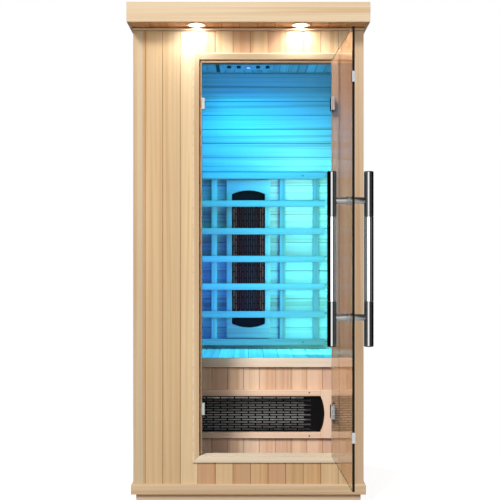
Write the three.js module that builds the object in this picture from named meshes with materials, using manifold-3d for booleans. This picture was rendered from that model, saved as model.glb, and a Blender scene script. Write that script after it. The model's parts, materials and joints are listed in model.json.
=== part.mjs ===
// Infrared sauna cabin for one person: panelled softwood walls, a frameless glass door on two
// hinges, a bench and two grilled infrared heaters. Millimetres, +Z up, front towards -Y.
// The origin is on the ground at the centre of the base.

import * as THREE from 'three';
import { mergeVertices } from 'three/addons/utils/BufferGeometryUtils.js';
import Module from 'manifold-3d';

// Cabin
const cabinWidth = 900;
const cabinDepth = 900;
const cabinHeight = 1900;
const frontOverhang = 100;
const gap = 0.3; // clearance between pieces that touch

// Walls
const claddingThickness = 12;
const studThickness = 28;
const studWidth = 28;
const studBays = { side: 4, back: 5, beside: 1, overDoor: 3, upward: 4 };
const liningThickness = 12;
const postSize = 38;
const boardPitch = 66.7;
const frontJoint = 8; // place of one joint in the front boards
const liningPitch = 65.2;
const topLiningBoard = 68.6; // from the ceiling to the uppermost joint in the lining
const grooveWidth = 2.4;
const grooveDepth = 2.2;

// Base
const baseHeight = 57;
const baseInset = 10;
const joistWidth = 40;
const joistBays = 6;
const floorThickness = 12;
const skirtingHeight = 39;
const skirtingThickness = 8;
const skirtingChamfer = 4;

// Roof
const fasciaHeight = 74;
const fasciaThickness = 12;
const deckThickness = 12;
const soffitThickness = 12;
const soffitRecess = 3;
const ceilingDrop = 93; // from the roof top to the ceiling face
const ceilingThickness = 12;
const ceilingBoardPitch = 41;
const controlBoxWidth = 240;
const controlBoxDepth = 160;
const controlBoxCentre = [150, 120];
const controlBoxHeadroom = 12;

// Downlights in the soffit
const downlightSpacing = 390;
const downlightSetback = 46; // from the front face to the lamp's centre
const bezelRadius = 35.5;
const bezelLip = 6;
const bezelThickness = 3;
const bezelWall = 3;
const lensThickness = 6;

// Ceiling light: four open cells beside a round lamp
const ceilingLightWidth = 216;
const ceilingLightDepth = 124;
const ceilingLightThickness = 4;
const ceilingLightFromBack = 138; // from the back lining to the light's centre
const lightCellPlaces = [-2, -1, 1, 2]; // in pitches from the lamp
const lightCellPitch = 43;
const lightCellWidth = 17;
const lightCellLength = 58;
const lightCellDepth = 3;
const lampRadius = 19;
const lampRise = 5;
const lampShoulder = 0.7; // share of the radius and the rise at the dome's bend

// Ceiling vent: a slot from the back wall, closed by a sliding cover with a finger lip
const ventSlotWidth = 21;
const ventSlotLength = 202; // from the back lining
const ventCentreX = -134.5;
const ventCoverWidth = 46;
const ventCoverThickness = 5;
const ventLipDepth = 3; // how far the finger lip hangs below the ceiling

// Doorway
const sillHeight = 202;
const headPanelHeight = 118; // from the opening to the fascia's lower edge
const hingeSidePanel = 50.7; // boards between the jamb and the corner post
const openingWidth = 512;
const jambWidth = 24;
const stopProjection = 9;
const architraveThickness = 8;
const architraveInnerEdge = 2.5;
const architraveFlat = 4;

// Glass door
const glassThickness = 8;
const glassSideGap = 3;
const glassBottomGap = 2;
const glassTopGap = 4;
const stopClearance = 2.5; // between the closed glass and the stop
const doorRestAngle = 92.3; // degrees open
const hingeFromHead = 173; // from the opening's head to the middle of the upper hinge
const hingeFromSill = 174;
const hingeHeight = 50;
const knuckleRadius = 5.7;
const pinRadius = 3;
const pinHeadRadius = 4.6;
const pinHeadHeight = 1.6;
const leafThickness = 3;
const leafWidth = 28;
const clampThickness = 5;
const clampWeb = 2.2;
const clampReach = 34;
const notchClearance = 1;
const catchFromHead = 165; // from the opening's head to the middle of the upper catch
const catchFromSill = 176;
const clipHeight = 35;
const clipThickness = 1.5;
const clipReach = 16;
const magnetHeight = 45;
const magnetWidth = 11;
const magnetDepth = 16;

// Door handle: a tube on each face of the glass
const handleLength = 578;
const handleRadius = 16;
const handleMiddle = 280; // bright middle between the two dark ends
const handleEndRound = 3;
const handleSeamWidth = 1.6;
const handleSeamDepth = 0.8;
const handleStandoff = 61; // from the middle of the glass to a tube's axis
const handleFromEdge = 66;
const handleCentreHeight = 954;
const handlePostSpacing = 385;
const handlePostRadius = 11;
const handleStemRadius = 6.5;
const handleCollarRadius = 14;
const handleCollarThickness = 7;

// Bench
const benchHeight = 532;
const benchDepth = 386;
const benchTopThickness = 20;
const benchRailHeight = 38;
const benchRailThickness = 20;
const riserThickness = 12;
const riserJoint = 46; // place of one joint in the riser's boards

// Heaters
const heaterHeight = 202;
const heaterOpening = 152;
const heaterFrameThickness = 20;
const heaterEndWidth = { foot: 47, back: 65 }; // beside the straight part of the opening
const heaterArch = 17; // rise of the arched cut in each end member
const heaterSideMargin = 36; // between the foot heater and the side lining
const heaterBelowRail = 96;
const grilleThickness = 1.5;
const grilleLip = 5; // how far the grille laps behind its frame
const slotLength = 53;
const slotHeight = 5.4;
const slotPitch = 59;
const slotRowPitch = 10.2;
const slotEndMargin = 52;
const sheetThickness = 1.2;
const trayClearance = 5;
const elementWidth = 110;
const elementRise = 18;
const elementThickness = 5;

// Backrest
const slatCount = 7;
const slatPitch = 127;
const slatHeight = 29;
const slatThickness = 20;
const slatLap = 2; // depth of the battens' notches
const battenWidth = 26;
const battenFromHeater = 43;
const battenFromEnd = 27;
const slatClearance = 2; // between the heater frame and the slats
const backrestSideMargin = 35;
const backrestAboveBench = 17.5;
const heaterRailClearance = 3;

// Facets
const turnedSides = 20;
const hingeSides = 12;
const postSides = 16;
const archSteps = 8;
const weldDistance = 1e-4;

// Planes worked out from the driving dimensions
const halfWidth = cabinWidth / 2 - fasciaThickness - gap;
const bodyDepth = cabinDepth - frontOverhang - fasciaThickness - gap;
const frontFace = -bodyDepth / 2;
const backFace = bodyDepth / 2;
const liningOffset = claddingThickness + gap + studThickness + gap;
const wallThickness = liningOffset + liningThickness;
const sideInner = halfWidth - wallThickness;
const frontInner = frontFace + wallThickness;
const backInner = backFace - wallThickness;
const sideFrameOuter = halfWidth - claddingThickness - gap;
const sideFrameInner = sideFrameOuter - studThickness;
const sideLiningOuter = sideFrameInner - gap;
const postInner = halfWidth - postSize;
const panelReach = Math.min(postInner, sideFrameInner) - gap; // of the front and back panels

const wallBottom = baseHeight + gap;
const wallTop = cabinHeight - deckThickness - gap;
const floorTop = baseHeight + gap + floorThickness;
const fasciaBottom = cabinHeight - fasciaHeight;
const ceilingFace = cabinHeight - ceilingDrop;
const ceilingTop = ceilingFace + ceilingThickness;
const liningTop = ceilingFace - gap;

const openingRight = postInner - hingeSidePanel - jambWidth;
const openingLeft = openingRight - openingWidth;
const openingBottom = sillHeight;
const openingTop = fasciaBottom - headPanelHeight;
const glassLeft = openingLeft + glassSideGap;
const glassRight = openingRight - glassSideGap;
const glassBottom = openingBottom + glassBottomGap;
const glassTop = openingTop - glassTopGap;
const glassBack = frontFace + glassThickness;
const stopFace = glassBack + stopClearance;
const hingeX = openingRight + leafThickness;
const hingeY = frontFace - knuckleRadius - gap;
const hingeHeights = { upper: openingTop - hingeFromHead, lower: openingBottom + hingeFromSill };
const catchHeights = { upper: openingTop - catchFromHead, lower: openingBottom + catchFromSill };

const benchFront = backInner - benchDepth;
const benchRailBottom = benchHeight - benchRailHeight;
const riserFace = benchFront + benchRailThickness + gap;

const finishes = {
  hemlock: { color: 0xd8b78a, roughness: 0.6, metalness: 0 },
  shadedHemlock: { color: 0xc79c78, roughness: 0.65, metalness: 0 },
  batten: { color: 0xb99a72, roughness: 0.8, metalness: 0 },
  glass: { color: 0xc9d8d2, roughness: 0.05, metalness: 0, transparent: true, opacity: 0.3 },
  chrome: { color: 0xc9ccd0, roughness: 0.15, metalness: 1 },
  steel: { color: 0x8f9296, roughness: 0.35, metalness: 1 },
  blackSteel: { color: 0x17171a, roughness: 0.45, metalness: 0.6 },
  ceramic: { color: 0x6d4438, roughness: 0.8, metalness: 0 },
  lamp: { color: 0xfff4dd, roughness: 0.3, metalness: 0 },
  plastic: { color: 0x2a2b2e, roughness: 0.5, metalness: 0 },
  palePlastic: { color: 0xd9d9d4, roughness: 0.45, metalness: 0 },
};

const wasm = await Module();
wasm.setup();

function solidOf(geometry) {
  const bare = new THREE.BufferGeometry();
  bare.setAttribute('position', geometry.getAttribute('position'));
  bare.setIndex(geometry.getIndex());
  const welded = mergeVertices(bare, weldDistance);
  const index = welded.getIndex().array;
  const triangles = [];
  for (let at = 0; at < index.length; at += 3) {
    const [a, b, c] = [index[at], index[at + 1], index[at + 2]];
    if (a !== b && b !== c && c !== a) triangles.push(a, b, c);
  }
  return new wasm.Manifold(new wasm.Mesh({
    numProp: 3,
    vertProperties: Float32Array.from(welded.getAttribute('position').array),
    triVerts: Uint32Array.from(triangles),
  }));
}

function geometryOf(solid) {
  const mesh = solid.getMesh();
  const geometry = new THREE.BufferGeometry();
  geometry.setAttribute('position', new THREE.BufferAttribute(mesh.vertProperties, 3));
  geometry.setIndex(new THREE.BufferAttribute(mesh.triVerts, 1));
  geometry.computeVertexNormals();
  return geometry;
}

function cut(body, ...tools) {
  return geometryOf(tools.reduce((rest, tool) => rest.subtract(solidOf(tool)), solidOf(body)));
}

function join(...parts) {
  return geometryOf(parts.map(solidOf).reduce((whole, part) => whole.add(part)));
}

function common(first, second) {
  return geometryOf(solidOf(first).intersect(solidOf(second)));
}

// A span is a pair of planes, [low, high]
const spread = (half) => [-half, half];
const about = (centre, size) => [centre - size / 2, centre + size / 2];

function block([x0, x1], [y0, y1], [z0, z1]) {
  const geometry = new THREE.BoxGeometry(x1 - x0, y1 - y0, z1 - z0);
  return geometry.translate((x0 + x1) / 2, (y0 + y1) / 2, (z0 + z1) / 2);
}

function rectangle([x0, x1], [y0, y1], Kind = THREE.Shape) {
  return new Kind([[x0, y0], [x1, y0], [x1, y1], [x0, y1]].map(([x, y]) => new THREE.Vector2(x, y)));
}

function circle(x, y, radius) {
  return new THREE.Path().absarc(x, y, radius, 0, 2 * Math.PI);
}

function withHoles(shape, holes) {
  shape.holes.push(...holes);
  return shape;
}

function extrudeZ(shape, [z0, z1]) {
  const options = { depth: z1 - z0, bevelEnabled: false, curveSegments: archSteps };
  return new THREE.ExtrudeGeometry(shape, options).translate(0, 0, z0);
}

// The shape's first axis lies along X and its second along Z
function extrudeY(shape, [y0, y1]) {
  return extrudeZ(shape, [0, y1 - y0]).rotateX(Math.PI / 2).translate(0, y1, 0);
}

// The shape's first axis lies along Y and its second along Z
function extrudeX(shape, [x0, x1]) {
  const turn = new THREE.Matrix4().makeBasis(
    new THREE.Vector3(0, 1, 0),
    new THREE.Vector3(0, 0, 1),
    new THREE.Vector3(1, 0, 0),
  );
  return extrudeZ(shape, [x0, x1]).applyMatrix4(turn);
}

// A closed profile of [radius, height] points turned about Z
function turned(profile, sides = turnedSides) {
  const points = profile.map(([radius, height]) => new THREE.Vector2(radius, height));
  return new THREE.LatheGeometry(points, sides).rotateX(Math.PI / 2);
}

function rod(radius, [z0, z1], sides = turnedSides) {
  return turned([[0, z0], [radius, z0], [radius, z1], [0, z1]], sides);
}

// Joints of equal boards that fill a span
function evenJoints([start, end], pitch) {
  const count = Math.max(1, Math.round((end - start) / pitch));
  return Array.from({ length: count - 1 }, (_, number) => start + ((end - start) * (number + 1)) / count);
}

// Joints a board apart on both sides of a given one, with the boards at the ends cut to fit
function joinedAt(joint, [start, end], pitch) {
  const first = Math.ceil((start + grooveWidth - joint) / pitch);
  const last = Math.floor((end - grooveWidth - joint) / pitch);
  return Array.from({ length: last - first + 1 }, (_, number) => joint + (first + number) * pitch);
}

// Section across a run of tongued boards, with a V-groove in the face at each joint
function boardSection([start, end], face, back, joints = evenJoints([start, end], boardPitch)) {
  const bottom = face + Math.sign(back - face) * grooveDepth;
  const points = [[start, back], [start, face]];
  joints.forEach((at) => {
    points.push([at - grooveWidth / 2, face], [at, bottom], [at + grooveWidth / 2, face]);
  });
  points.push([end, face], [end, back]);
  return new THREE.Shape(points.map(([along, across]) => new THREE.Vector2(along, across)));
}

// Section of the lining, whose boards lie level and meet at the cabin's inner corners
function liningSection(face, back) {
  const height = [wallBottom, liningTop];
  const joints = joinedAt(ceilingFace - topLiningBoard, height, liningPitch);
  return swapped(boardSection(height, face, back, joints));
}

function swapped(shape) {
  return new THREE.Shape(shape.getPoints().map(({ x, y }) => new THREE.Vector2(y, x)));
}

// Spans of the bays between equally spaced members
function bays([start, end], count, member) {
  const clear = (end - start - member * (count + 1)) / count;
  return Array.from({ length: count }, (_, number) => {
    const from = start + member + number * (clear + member);
    return [from, from + clear];
  });
}

// Every pairing of two lists of spans
function grid(columns, rows) {
  return columns.flatMap((column) => rows.map((row) => [column, row]));
}

const widened = ([low, high]) => [low - gap, high + gap];

// A moulding that follows a plan path with mitred corners. Its section is a closed outline of
// [out, up] points, with out measured to the right of the path.
function moulding(path, section, closed) {
  const count = path.length;
  const points = path.map(([x, y]) => new THREE.Vector2(x, y));
  const rightOf = (from, to) => {
    const along = points[to].clone().sub(points[from]).normalize();
    return new THREE.Vector2(along.y, -along.x);
  };
  const positions = [];
  points.forEach((point, at) => {
    const before = closed || at > 0 ? rightOf((at + count - 1) % count, at) : rightOf(at, at + 1);
    const after = closed || at < count - 1 ? rightOf(at, (at + 1) % count) : before;
    const mitre = before.clone().add(after).divideScalar(1 + before.dot(after));
    section.forEach(([out, up]) => positions.push(point.x + mitre.x * out, point.y + mitre.y * out, up));
  });
  const size = section.length;
  const index = [];
  for (let from = 0; from < (closed ? count : count - 1); from += 1) {
    const to = (from + 1) % count;
    for (let side = 0; side < size; side += 1) {
      const next = (side + 1) % size;
      const [a, b] = [from * size + side, from * size + next];
      const [c, d] = [to * size + next, to * size + side];
      index.push(a, c, b, a, d, c);
    }
  }
  if (!closed) {
    const outline = section.map(([out, up]) => new THREE.Vector2(out, up));
    const last = (count - 1) * size;
    THREE.ShapeUtils.triangulateShape(outline, []).forEach(([a, b, c]) => {
      index.push(a, b, c, last + a, last + c, last + b);
    });
  }
  const geometry = new THREE.BufferGeometry();
  geometry.setAttribute('position', new THREE.Float32BufferAttribute(positions, 3));
  geometry.setIndex(index);
  geometry.computeVertexNormals();
  return geometry;
}

const cabin = new THREE.Group();

function addPiece(group, name, finish, geometry) {
  const mesh = new THREE.Mesh(geometry, new THREE.MeshStandardMaterial(finishes[finish]));
  mesh.name = name;
  group.add(mesh);
}

function addBase() {
  const width = spread(halfWidth - baseInset);
  const depth = bodyDepth / 2 - baseInset;
  const spaces = bays(width, joistBays, joistWidth).map((bay) => (
    block(bay, spread(depth - joistWidth), widened([0, baseHeight]))
  ));
  const base = cut(block(width, spread(depth), [0, baseHeight]), ...spaces);
  addPiece(cabin, 'base_frame', 'batten', base);

  const floorSection = boardSection(spread(sideInner - gap), floorTop, wallBottom);
  const floorSpan = [frontInner + gap, backInner - gap];
  addPiece(cabin, 'floor_deck', 'shadedHemlock', extrudeY(floorSection, floorSpan));

  const skirtingPath = [
    [-halfWidth, backFace], [-halfWidth, frontFace], [halfWidth, frontFace], [halfWidth, backFace],
  ];
  const skirtingSection = [
    [gap, 0], [skirtingThickness, 0], [skirtingThickness, skirtingHeight - skirtingChamfer],
    [skirtingThickness - skirtingChamfer, skirtingHeight], [gap, skirtingHeight],
  ];
  const skirting = moulding(skirtingPath, skirtingSection, false);
  addPiece(cabin, 'skirting', 'hemlock', skirting.translate(0, 0, wallBottom));
}

function addSideWall(name, side) {
  const mirrored = (x0, x1) => [Math.min(side * x0, side * x1), Math.max(side * x0, side * x1)];
  const height = [wallBottom, wallTop];
  const between = spread(bodyDepth / 2 - postSize);
  const thickness = mirrored(sideFrameInner, sideFrameOuter);
  const spaces = grid(
    bays(between, studBays.side, studWidth),
    bays(height, studBays.upward, studWidth),
  );
  const ladder = cut(
    block(thickness, between, height),
    ...spaces.map(([depth, rise]) => block(widened(thickness), depth, rise)),
  );
  const posts = [frontFace, backFace - postSize].map((front) => (
    block(mirrored(postInner, halfWidth), [front, front + postSize], height)
  ));
  const frame = join(ladder, ...posts);
  addPiece(cabin, `${name}_wall_frame`, 'hemlock', frame);

  const boards = boardSection(spread(bodyDepth / 2 - postSize - gap), halfWidth * side,
    (halfWidth - claddingThickness) * side);
  addPiece(cabin, `${name}_cladding`, 'hemlock', extrudeZ(swapped(boards), height));

  const lining = liningSection(sideInner * side, sideLiningOuter * side);
  const liningSpan = [frontInner + gap, backInner - gap];
  addPiece(cabin, `${name}_lining`, 'shadedHemlock', extrudeY(lining, liningSpan));
}

// Long half of a heater's opening, to the top of its arched ends
const heaterReach = (length, endWidth) => length / 2 - endWidth + heaterArch;
const pocketLength = (length, endWidth) => 2 * (heaterReach(length, endWidth) + grilleLip + gap);
const pocketHeight = heaterOpening + 2 * (grilleLip + gap);
const trayDepth = liningThickness + studThickness - trayClearance;

const footHeaterLength = 2 * (sideInner - heaterSideMargin);
const footHeaterHeight = benchRailBottom - heaterBelowRail - heaterHeight / 2;
const backrestBottom = benchHeight + backrestAboveBench;
const railDistance = (slatCount - 1) * slatPitch;
const backHeaterLength = railDistance - slatHeight - 2 * heaterRailClearance;
const backHeaterHeight = backrestBottom + slatHeight / 2 + railDistance / 2;

function addBackWall() {
  const height = [wallBottom, wallTop];
  const heaterPocket = (span) => block(spread(pocketHeight / 2), span,
    about(backHeaterHeight, pocketLength(backHeaterLength, heaterEndWidth.back)));
  const span = spread(panelReach);
  const studs = [backFace - liningOffset + gap, backFace - claddingThickness - gap];
  const spaces = grid(
    bays(span, studBays.back, studWidth),
    bays(height, studBays.upward, studWidth),
  );
  const pocketSpan = [backInner - liningThickness, backFace - claddingThickness];
  const frame = cut(
    block(span, studs, height),
    ...spaces.map(([width, rise]) => block(width, widened(studs), rise)),
    heaterPocket(pocketSpan),
  );
  addPiece(cabin, 'back_wall_frame', 'batten', frame);

  const boards = boardSection(spread(postInner - gap), backFace, backFace - claddingThickness);
  addPiece(cabin, 'back_cladding', 'hemlock', extrudeZ(boards, height));

  const panel = extrudeX(liningSection(backInner, backInner + liningThickness), spread(panelReach));
  addPiece(cabin, 'back_lining', 'shadedHemlock', cut(panel, heaterPocket(pocketSpan)));
}

function addFrontWall() {
  const left = openingLeft - jambWidth;
  const right = openingRight + jambWidth;
  const bottom = openingBottom - jambWidth;
  const top = openingTop + jambWidth;
  const opening = rectangle([openingLeft, openingRight], [openingBottom, openingTop], THREE.Path);
  const stopOpening = rectangle([openingLeft + stopProjection, openingRight],
    [openingBottom, openingTop - stopProjection], THREE.Path);

  const besideDoor = bays([-panelReach, left], studBays.beside, studWidth);
  const overDoor = bays([left, right], studBays.overDoor, studWidth);
  const spaces = [
    ...grid(besideDoor, bays([wallBottom, wallTop], studBays.upward, studWidth)),
    ...grid(overDoor, bays([top, wallTop], 1, studWidth)),
    ...grid(overDoor, bays([wallBottom, bottom], 1, studWidth)),
    [[left, right], [bottom, top]],
  ];
  const studs = [frontFace + claddingThickness + gap, frontFace + liningOffset - gap];
  const ladder = cut(
    block(spread(panelReach), studs, [wallBottom, wallTop]),
    ...spaces.map(([width, rise]) => block(width, widened(studs), rise)),
  );
  const rebate = withHoles(rectangle([left, right], [bottom, top]), [opening]);
  const stop = withHoles(rectangle([left, right], [bottom, top]), [stopOpening]);
  const mortises = Object.values(hingeHeights).map((height) => block(
    [openingRight - gap, openingRight + leafThickness + gap],
    [frontFace - gap, frontFace + leafWidth + gap],
    about(height, hingeHeight + 2 * gap),
  ));
  const frame = join(ladder, extrudeY(rebate, [frontFace, stopFace]),
    extrudeY(stop, [stopFace, frontInner]));
  addPiece(cabin, 'front_frame', 'hemlock', cut(frame, ...mortises));

  const reach = postInner - gap;
  const face = boardSection(spread(reach), frontFace, frontFace + claddingThickness,
    joinedAt(frontJoint, spread(reach), boardPitch));
  const boards = extrudeZ(face, [wallBottom, wallTop]);
  const depth = [frontFace - gap, frontFace + claddingThickness];
  const panels = {
    left: [[-reach, left - gap], [wallBottom, wallTop]],
    right: [[right + gap, reach], [wallBottom, wallTop]],
    head: [[left, right], [top + gap, wallTop]],
    sill: [[left, right], [wallBottom, bottom - gap]],
  };
  Object.entries(panels).forEach(([name, [width, height]]) => {
    addPiece(cabin, `front_boards_${name}`, 'hemlock', common(boards, block(width, depth, height)));
  });

  const doorway = block([left - gap, right + gap], [frontFace, frontInner + gap],
    [bottom - gap, top + gap]);
  const panel = extrudeX(liningSection(frontInner, frontInner - liningThickness), spread(panelReach));
  addPiece(cabin, 'front_lining', 'shadedHemlock', cut(panel, doorway));

  const architravePath = [
    [openingLeft, openingBottom], [openingRight, openingBottom],
    [openingRight, openingTop], [openingLeft, openingTop],
  ];
  const architraveSection = [
    [0, 0], [jambWidth, 0], [jambWidth, architraveThickness],
    [jambWidth - architraveFlat, architraveThickness], [0, architraveInnerEdge],
  ];
  const architrave = moulding(architravePath, architraveSection, true)
    .rotateX(Math.PI / 2)
    .translate(0, frontFace - gap, 0);
  const notches = Object.values(hingeHeights).map((height) => block(
    [openingRight - gap, hingeX + knuckleRadius + notchClearance],
    [frontFace - gap - architraveThickness, frontFace],
    about(height, hingeHeight + 2 * (gap + pinHeadHeight + notchClearance)),
  ));
  addPiece(cabin, 'door_architrave', 'hemlock', cut(architrave, ...notches));
}

function addRoof() {
  const half = cabinWidth / 2;
  const front = frontFace - frontOverhang;
  const back = backFace + gap + fasciaThickness;
  const height = [fasciaBottom, cabinHeight];
  const inner = half - fasciaThickness;
  const sideSpan = [front + fasciaThickness + gap, back - fasciaThickness - gap];
  addPiece(cabin, 'fascia_front', 'hemlock', block(spread(half), [front, front + fasciaThickness], height));
  addPiece(cabin, 'fascia_back', 'hemlock', block(spread(half), [back - fasciaThickness, back], height));
  addPiece(cabin, 'fascia_left', 'hemlock', block([-half, -inner], sideSpan, height));
  addPiece(cabin, 'fascia_right', 'hemlock', block([inner, half], sideSpan, height));
  const deck = block(spread(inner - gap), sideSpan, [cabinHeight - deckThickness, cabinHeight]);
  addPiece(cabin, 'roof_deck', 'batten', deck);

  const lampY = frontFace - downlightSetback;
  const soffitFace = fasciaBottom + soffitRecess;
  const soffitSection = boardSection(spread(inner - gap), soffitFace, soffitFace + soffitThickness);
  const soffit = extrudeY(soffitSection, [front + fasciaThickness + gap, frontFace - gap]);
  const collarRadius = bezelRadius - bezelLip;
  const lampHeight = [soffitFace - gap - bezelThickness, soffitFace + soffitThickness];
  const lamps = Object.entries({ left: -downlightSpacing / 2, right: downlightSpacing / 2 });
  const holes = lamps.map(([, x]) => rod(collarRadius + gap, lampHeight).translate(x, lampY, 0));
  addPiece(cabin, 'soffit', 'hemlock', cut(soffit, ...holes));

  const [flangeFace, collarTop] = lampHeight;
  const bezel = [
    [bezelRadius, flangeFace + bezelThickness], [bezelRadius, flangeFace],
    [collarRadius - bezelWall, flangeFace], [collarRadius - bezelWall, collarTop],
    [collarRadius, collarTop], [collarRadius, flangeFace + bezelThickness],
    [bezelRadius, flangeFace + bezelThickness],
  ];
  const lensRadius = collarRadius - bezelWall - gap;
  const lens = rod(lensRadius, [flangeFace + gap, flangeFace + gap + lensThickness]);
  lamps.forEach(([name, x]) => {
    const ring = turned([...bezel].reverse());
    addPiece(cabin, `downlight_${name}_bezel`, 'chrome', ring.translate(x, lampY, 0));
    addPiece(cabin, `downlight_${name}_lens`, 'lamp', lens.clone().translate(x, lampY, 0));
  });
}

function addCeiling() {
  const span = [frontInner - liningThickness, backInner + liningThickness];
  const [slotLeft, slotRight] = about(ventCentreX, ventSlotWidth);
  const slotFront = backInner - ventSlotLength;
  const section = boardSection(spread(panelReach), ceilingFace, ceilingTop,
    joinedAt(slotLeft, spread(panelReach), ceilingBoardPitch));
  const boards = extrudeY(section, span);
  const height = [ceilingFace - gap, ceilingTop + gap];
  const fields = {
    left: [[-panelReach, slotLeft], span],
    strip: [[slotLeft + gap, slotRight - gap], [span[0], slotFront]],
    right: [[slotRight, panelReach], span],
  };
  Object.entries(fields).forEach(([name, [width, depth]]) => {
    addPiece(cabin, `ceiling_${name}`, 'shadedHemlock', common(boards, block(width, depth, height)));
  });

  // The cover lies on the ceiling beside the slot, and the slot's ends guide its lip
  const coverLeft = slotRight - gap - ventCoverThickness;
  const coverBottom = ceilingTop + gap;
  const coverTop = coverBottom + ventCoverThickness;
  const lipBottom = ceilingFace - ventLipDepth;
  const cover = [
    [coverLeft, lipBottom], [coverLeft + ventCoverThickness, lipBottom],
    [coverLeft + ventCoverThickness, coverBottom], [coverLeft + ventCoverWidth, coverBottom],
    [coverLeft + ventCoverWidth, coverTop], [coverLeft, coverTop],
  ].map(([x, z]) => new THREE.Vector2(x, z));
  const coverSpan = [slotFront + gap, backInner - gap];
  addPiece(cabin, 'vent_slide', 'hemlock', extrudeY(new THREE.Shape(cover), coverSpan));

  const [boxX, boxY] = controlBoxCentre;
  const controlBox = block(about(boxX, controlBoxWidth), about(boxY, controlBoxDepth),
    [ceilingTop + gap, cabinHeight - deckThickness - controlBoxHeadroom]);
  addPiece(cabin, 'control_box', 'plastic', controlBox);

  const lightY = backInner - ceilingLightFromBack;
  const lightFace = ceilingFace - gap - ceilingLightThickness;
  const plate = block(about(0, ceilingLightWidth), about(lightY, ceilingLightDepth),
    [lightFace, ceilingFace - gap]);
  const cells = lightCellPlaces.map((place) => block(
    about(place * lightCellPitch, lightCellWidth),
    about(lightY, lightCellLength),
    [lightFace - gap, lightFace + lightCellDepth],
  ));
  const dome = turned([
    [0, lightFace - lampRise], [lampRadius * lampShoulder, lightFace - lampRise * lampShoulder],
    [lampRadius, lightFace], [lampRadius, lightFace + lightCellDepth], [0, lightFace + lightCellDepth],
  ]).translate(0, lightY, 0);
  addPiece(cabin, 'ceiling_light', 'palePlastic', join(cut(plate, ...cells), dome));
}

function addBench() {
  const reach = sideInner - gap;
  const back = backInner - gap;
  const top = boardSection(spread(reach), benchHeight, benchHeight - benchTopThickness);
  const topSpan = [benchFront + benchRailThickness + gap, back];
  addPiece(cabin, 'bench_top', 'hemlock', extrudeY(top, topSpan));

  const rail = block(spread(reach), [benchFront, benchFront + benchRailThickness],
    [benchRailBottom, benchHeight]);
  addPiece(cabin, 'bench_front_rail', 'hemlock', rail);

  const boards = boardSection(spread(reach), riserFace, riserFace + riserThickness,
    joinedAt(riserJoint, spread(reach), boardPitch));
  const riser = extrudeZ(boards, [floorTop + gap, benchHeight - benchTopThickness - gap]);
  const pocket = block(spread(pocketLength(footHeaterLength, heaterEndWidth.foot) / 2),
    [riserFace - gap, riserFace + riserThickness + gap],
    about(footHeaterHeight, pocketHeight));
  addPiece(cabin, 'bench_riser', 'shadedHemlock', cut(riser, pocket));
}

// Staggered rows of slots, centred on the grille
function grilleSlots(reach) {
  const half = reach - slotEndMargin;
  const rows = Math.floor(heaterOpening / slotRowPitch);
  const longest = Math.floor((2 * half + slotPitch - slotLength) / slotPitch);
  const slots = [];
  for (let row = 0; row < rows; row += 1) {
    const y = (row - (rows - 1) / 2) * slotRowPitch;
    const count = longest - (row % 2);
    for (let place = 0; place < count; place += 1) {
      const x = (place - (count - 1) / 2) * slotPitch;
      slots.push(block(about(x, slotLength), about(y, slotHeight), widened([-grilleThickness, 0])));
    }
  }
  return slots;
}

// A heater seen from its front: X along its length, Y across it and Z out of the wall it is on
function addHeater(name, length, endWidth) {
  const heater = new THREE.Group();
  cabin.add(heater);

  const reach = heaterReach(length, endWidth);
  const halfOpening = heaterOpening / 2;
  const archRadius = (halfOpening ** 2 + heaterArch ** 2) / (2 * heaterArch);
  const archCentre = reach - archRadius;
  const archAngle = Math.asin(halfOpening / archRadius);
  const opening = new THREE.Path()
    .absarc(archCentre, 0, archRadius, -archAngle, archAngle)
    .absarc(-archCentre, 0, archRadius, Math.PI - archAngle, Math.PI + archAngle);
  const frame = withHoles(rectangle(spread(length / 2), spread(heaterHeight / 2)), [opening]);
  addPiece(heater, `${name}_frame`, 'hemlock', extrudeZ(frame, [gap, gap + heaterFrameThickness]));

  const plateLength = spread(pocketLength(length, endWidth) / 2 - gap);
  const plateHeight = spread(pocketHeight / 2 - gap);
  const grille = cut(block(plateLength, plateHeight, [-grilleThickness, 0]), ...grilleSlots(reach));
  addPiece(heater, `${name}_grille`, 'blackSteel', grille);

  const trayFront = -grilleThickness - gap;
  const trayBack = trayFront - trayDepth;
  const floor = trayBack + sheetThickness;
  const [, plateEnd] = plateLength;
  const [, plateSide] = plateHeight;
  const tray = cut(
    block(plateLength, plateHeight, [trayBack, trayFront]),
    block(spread(plateEnd - sheetThickness), spread(plateSide - sheetThickness), [floor, 0]),
  );
  addPiece(heater, `${name}_tray`, 'steel', tray);

  const halfElement = elementWidth / 2;
  const bendRadius = (halfElement ** 2 + elementRise ** 2) / (2 * elementRise);
  const bendAngle = Math.asin(halfElement / bendRadius);
  const bendCentre = floor + gap + elementRise - bendRadius;
  const [bendStart, bendEnd] = [Math.PI / 2 - bendAngle, Math.PI / 2 + bendAngle];
  const shell = new THREE.Shape()
    .absarc(0, bendCentre + elementThickness, bendRadius, bendStart, bendEnd)
    .absarc(0, bendCentre, bendRadius, bendEnd, bendStart, true);
  const elementSpan = spread(plateEnd - sheetThickness - gap);
  addPiece(heater, `${name}_element`, 'ceramic', extrudeX(shell, elementSpan));
  return heater;
}

function addHeaters() {
  const foot = addHeater('foot_heater', footHeaterLength, heaterEndWidth.foot);
  foot.position.set(0, riserFace, footHeaterHeight);
  foot.rotation.x = Math.PI / 2;

  const back = addHeater('back_heater', backHeaterLength, heaterEndWidth.back);
  back.position.set(0, backInner, backHeaterHeight);
  back.rotation.set(Math.PI / 2, 0, Math.PI / 2, 'XYZ');
}

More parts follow.
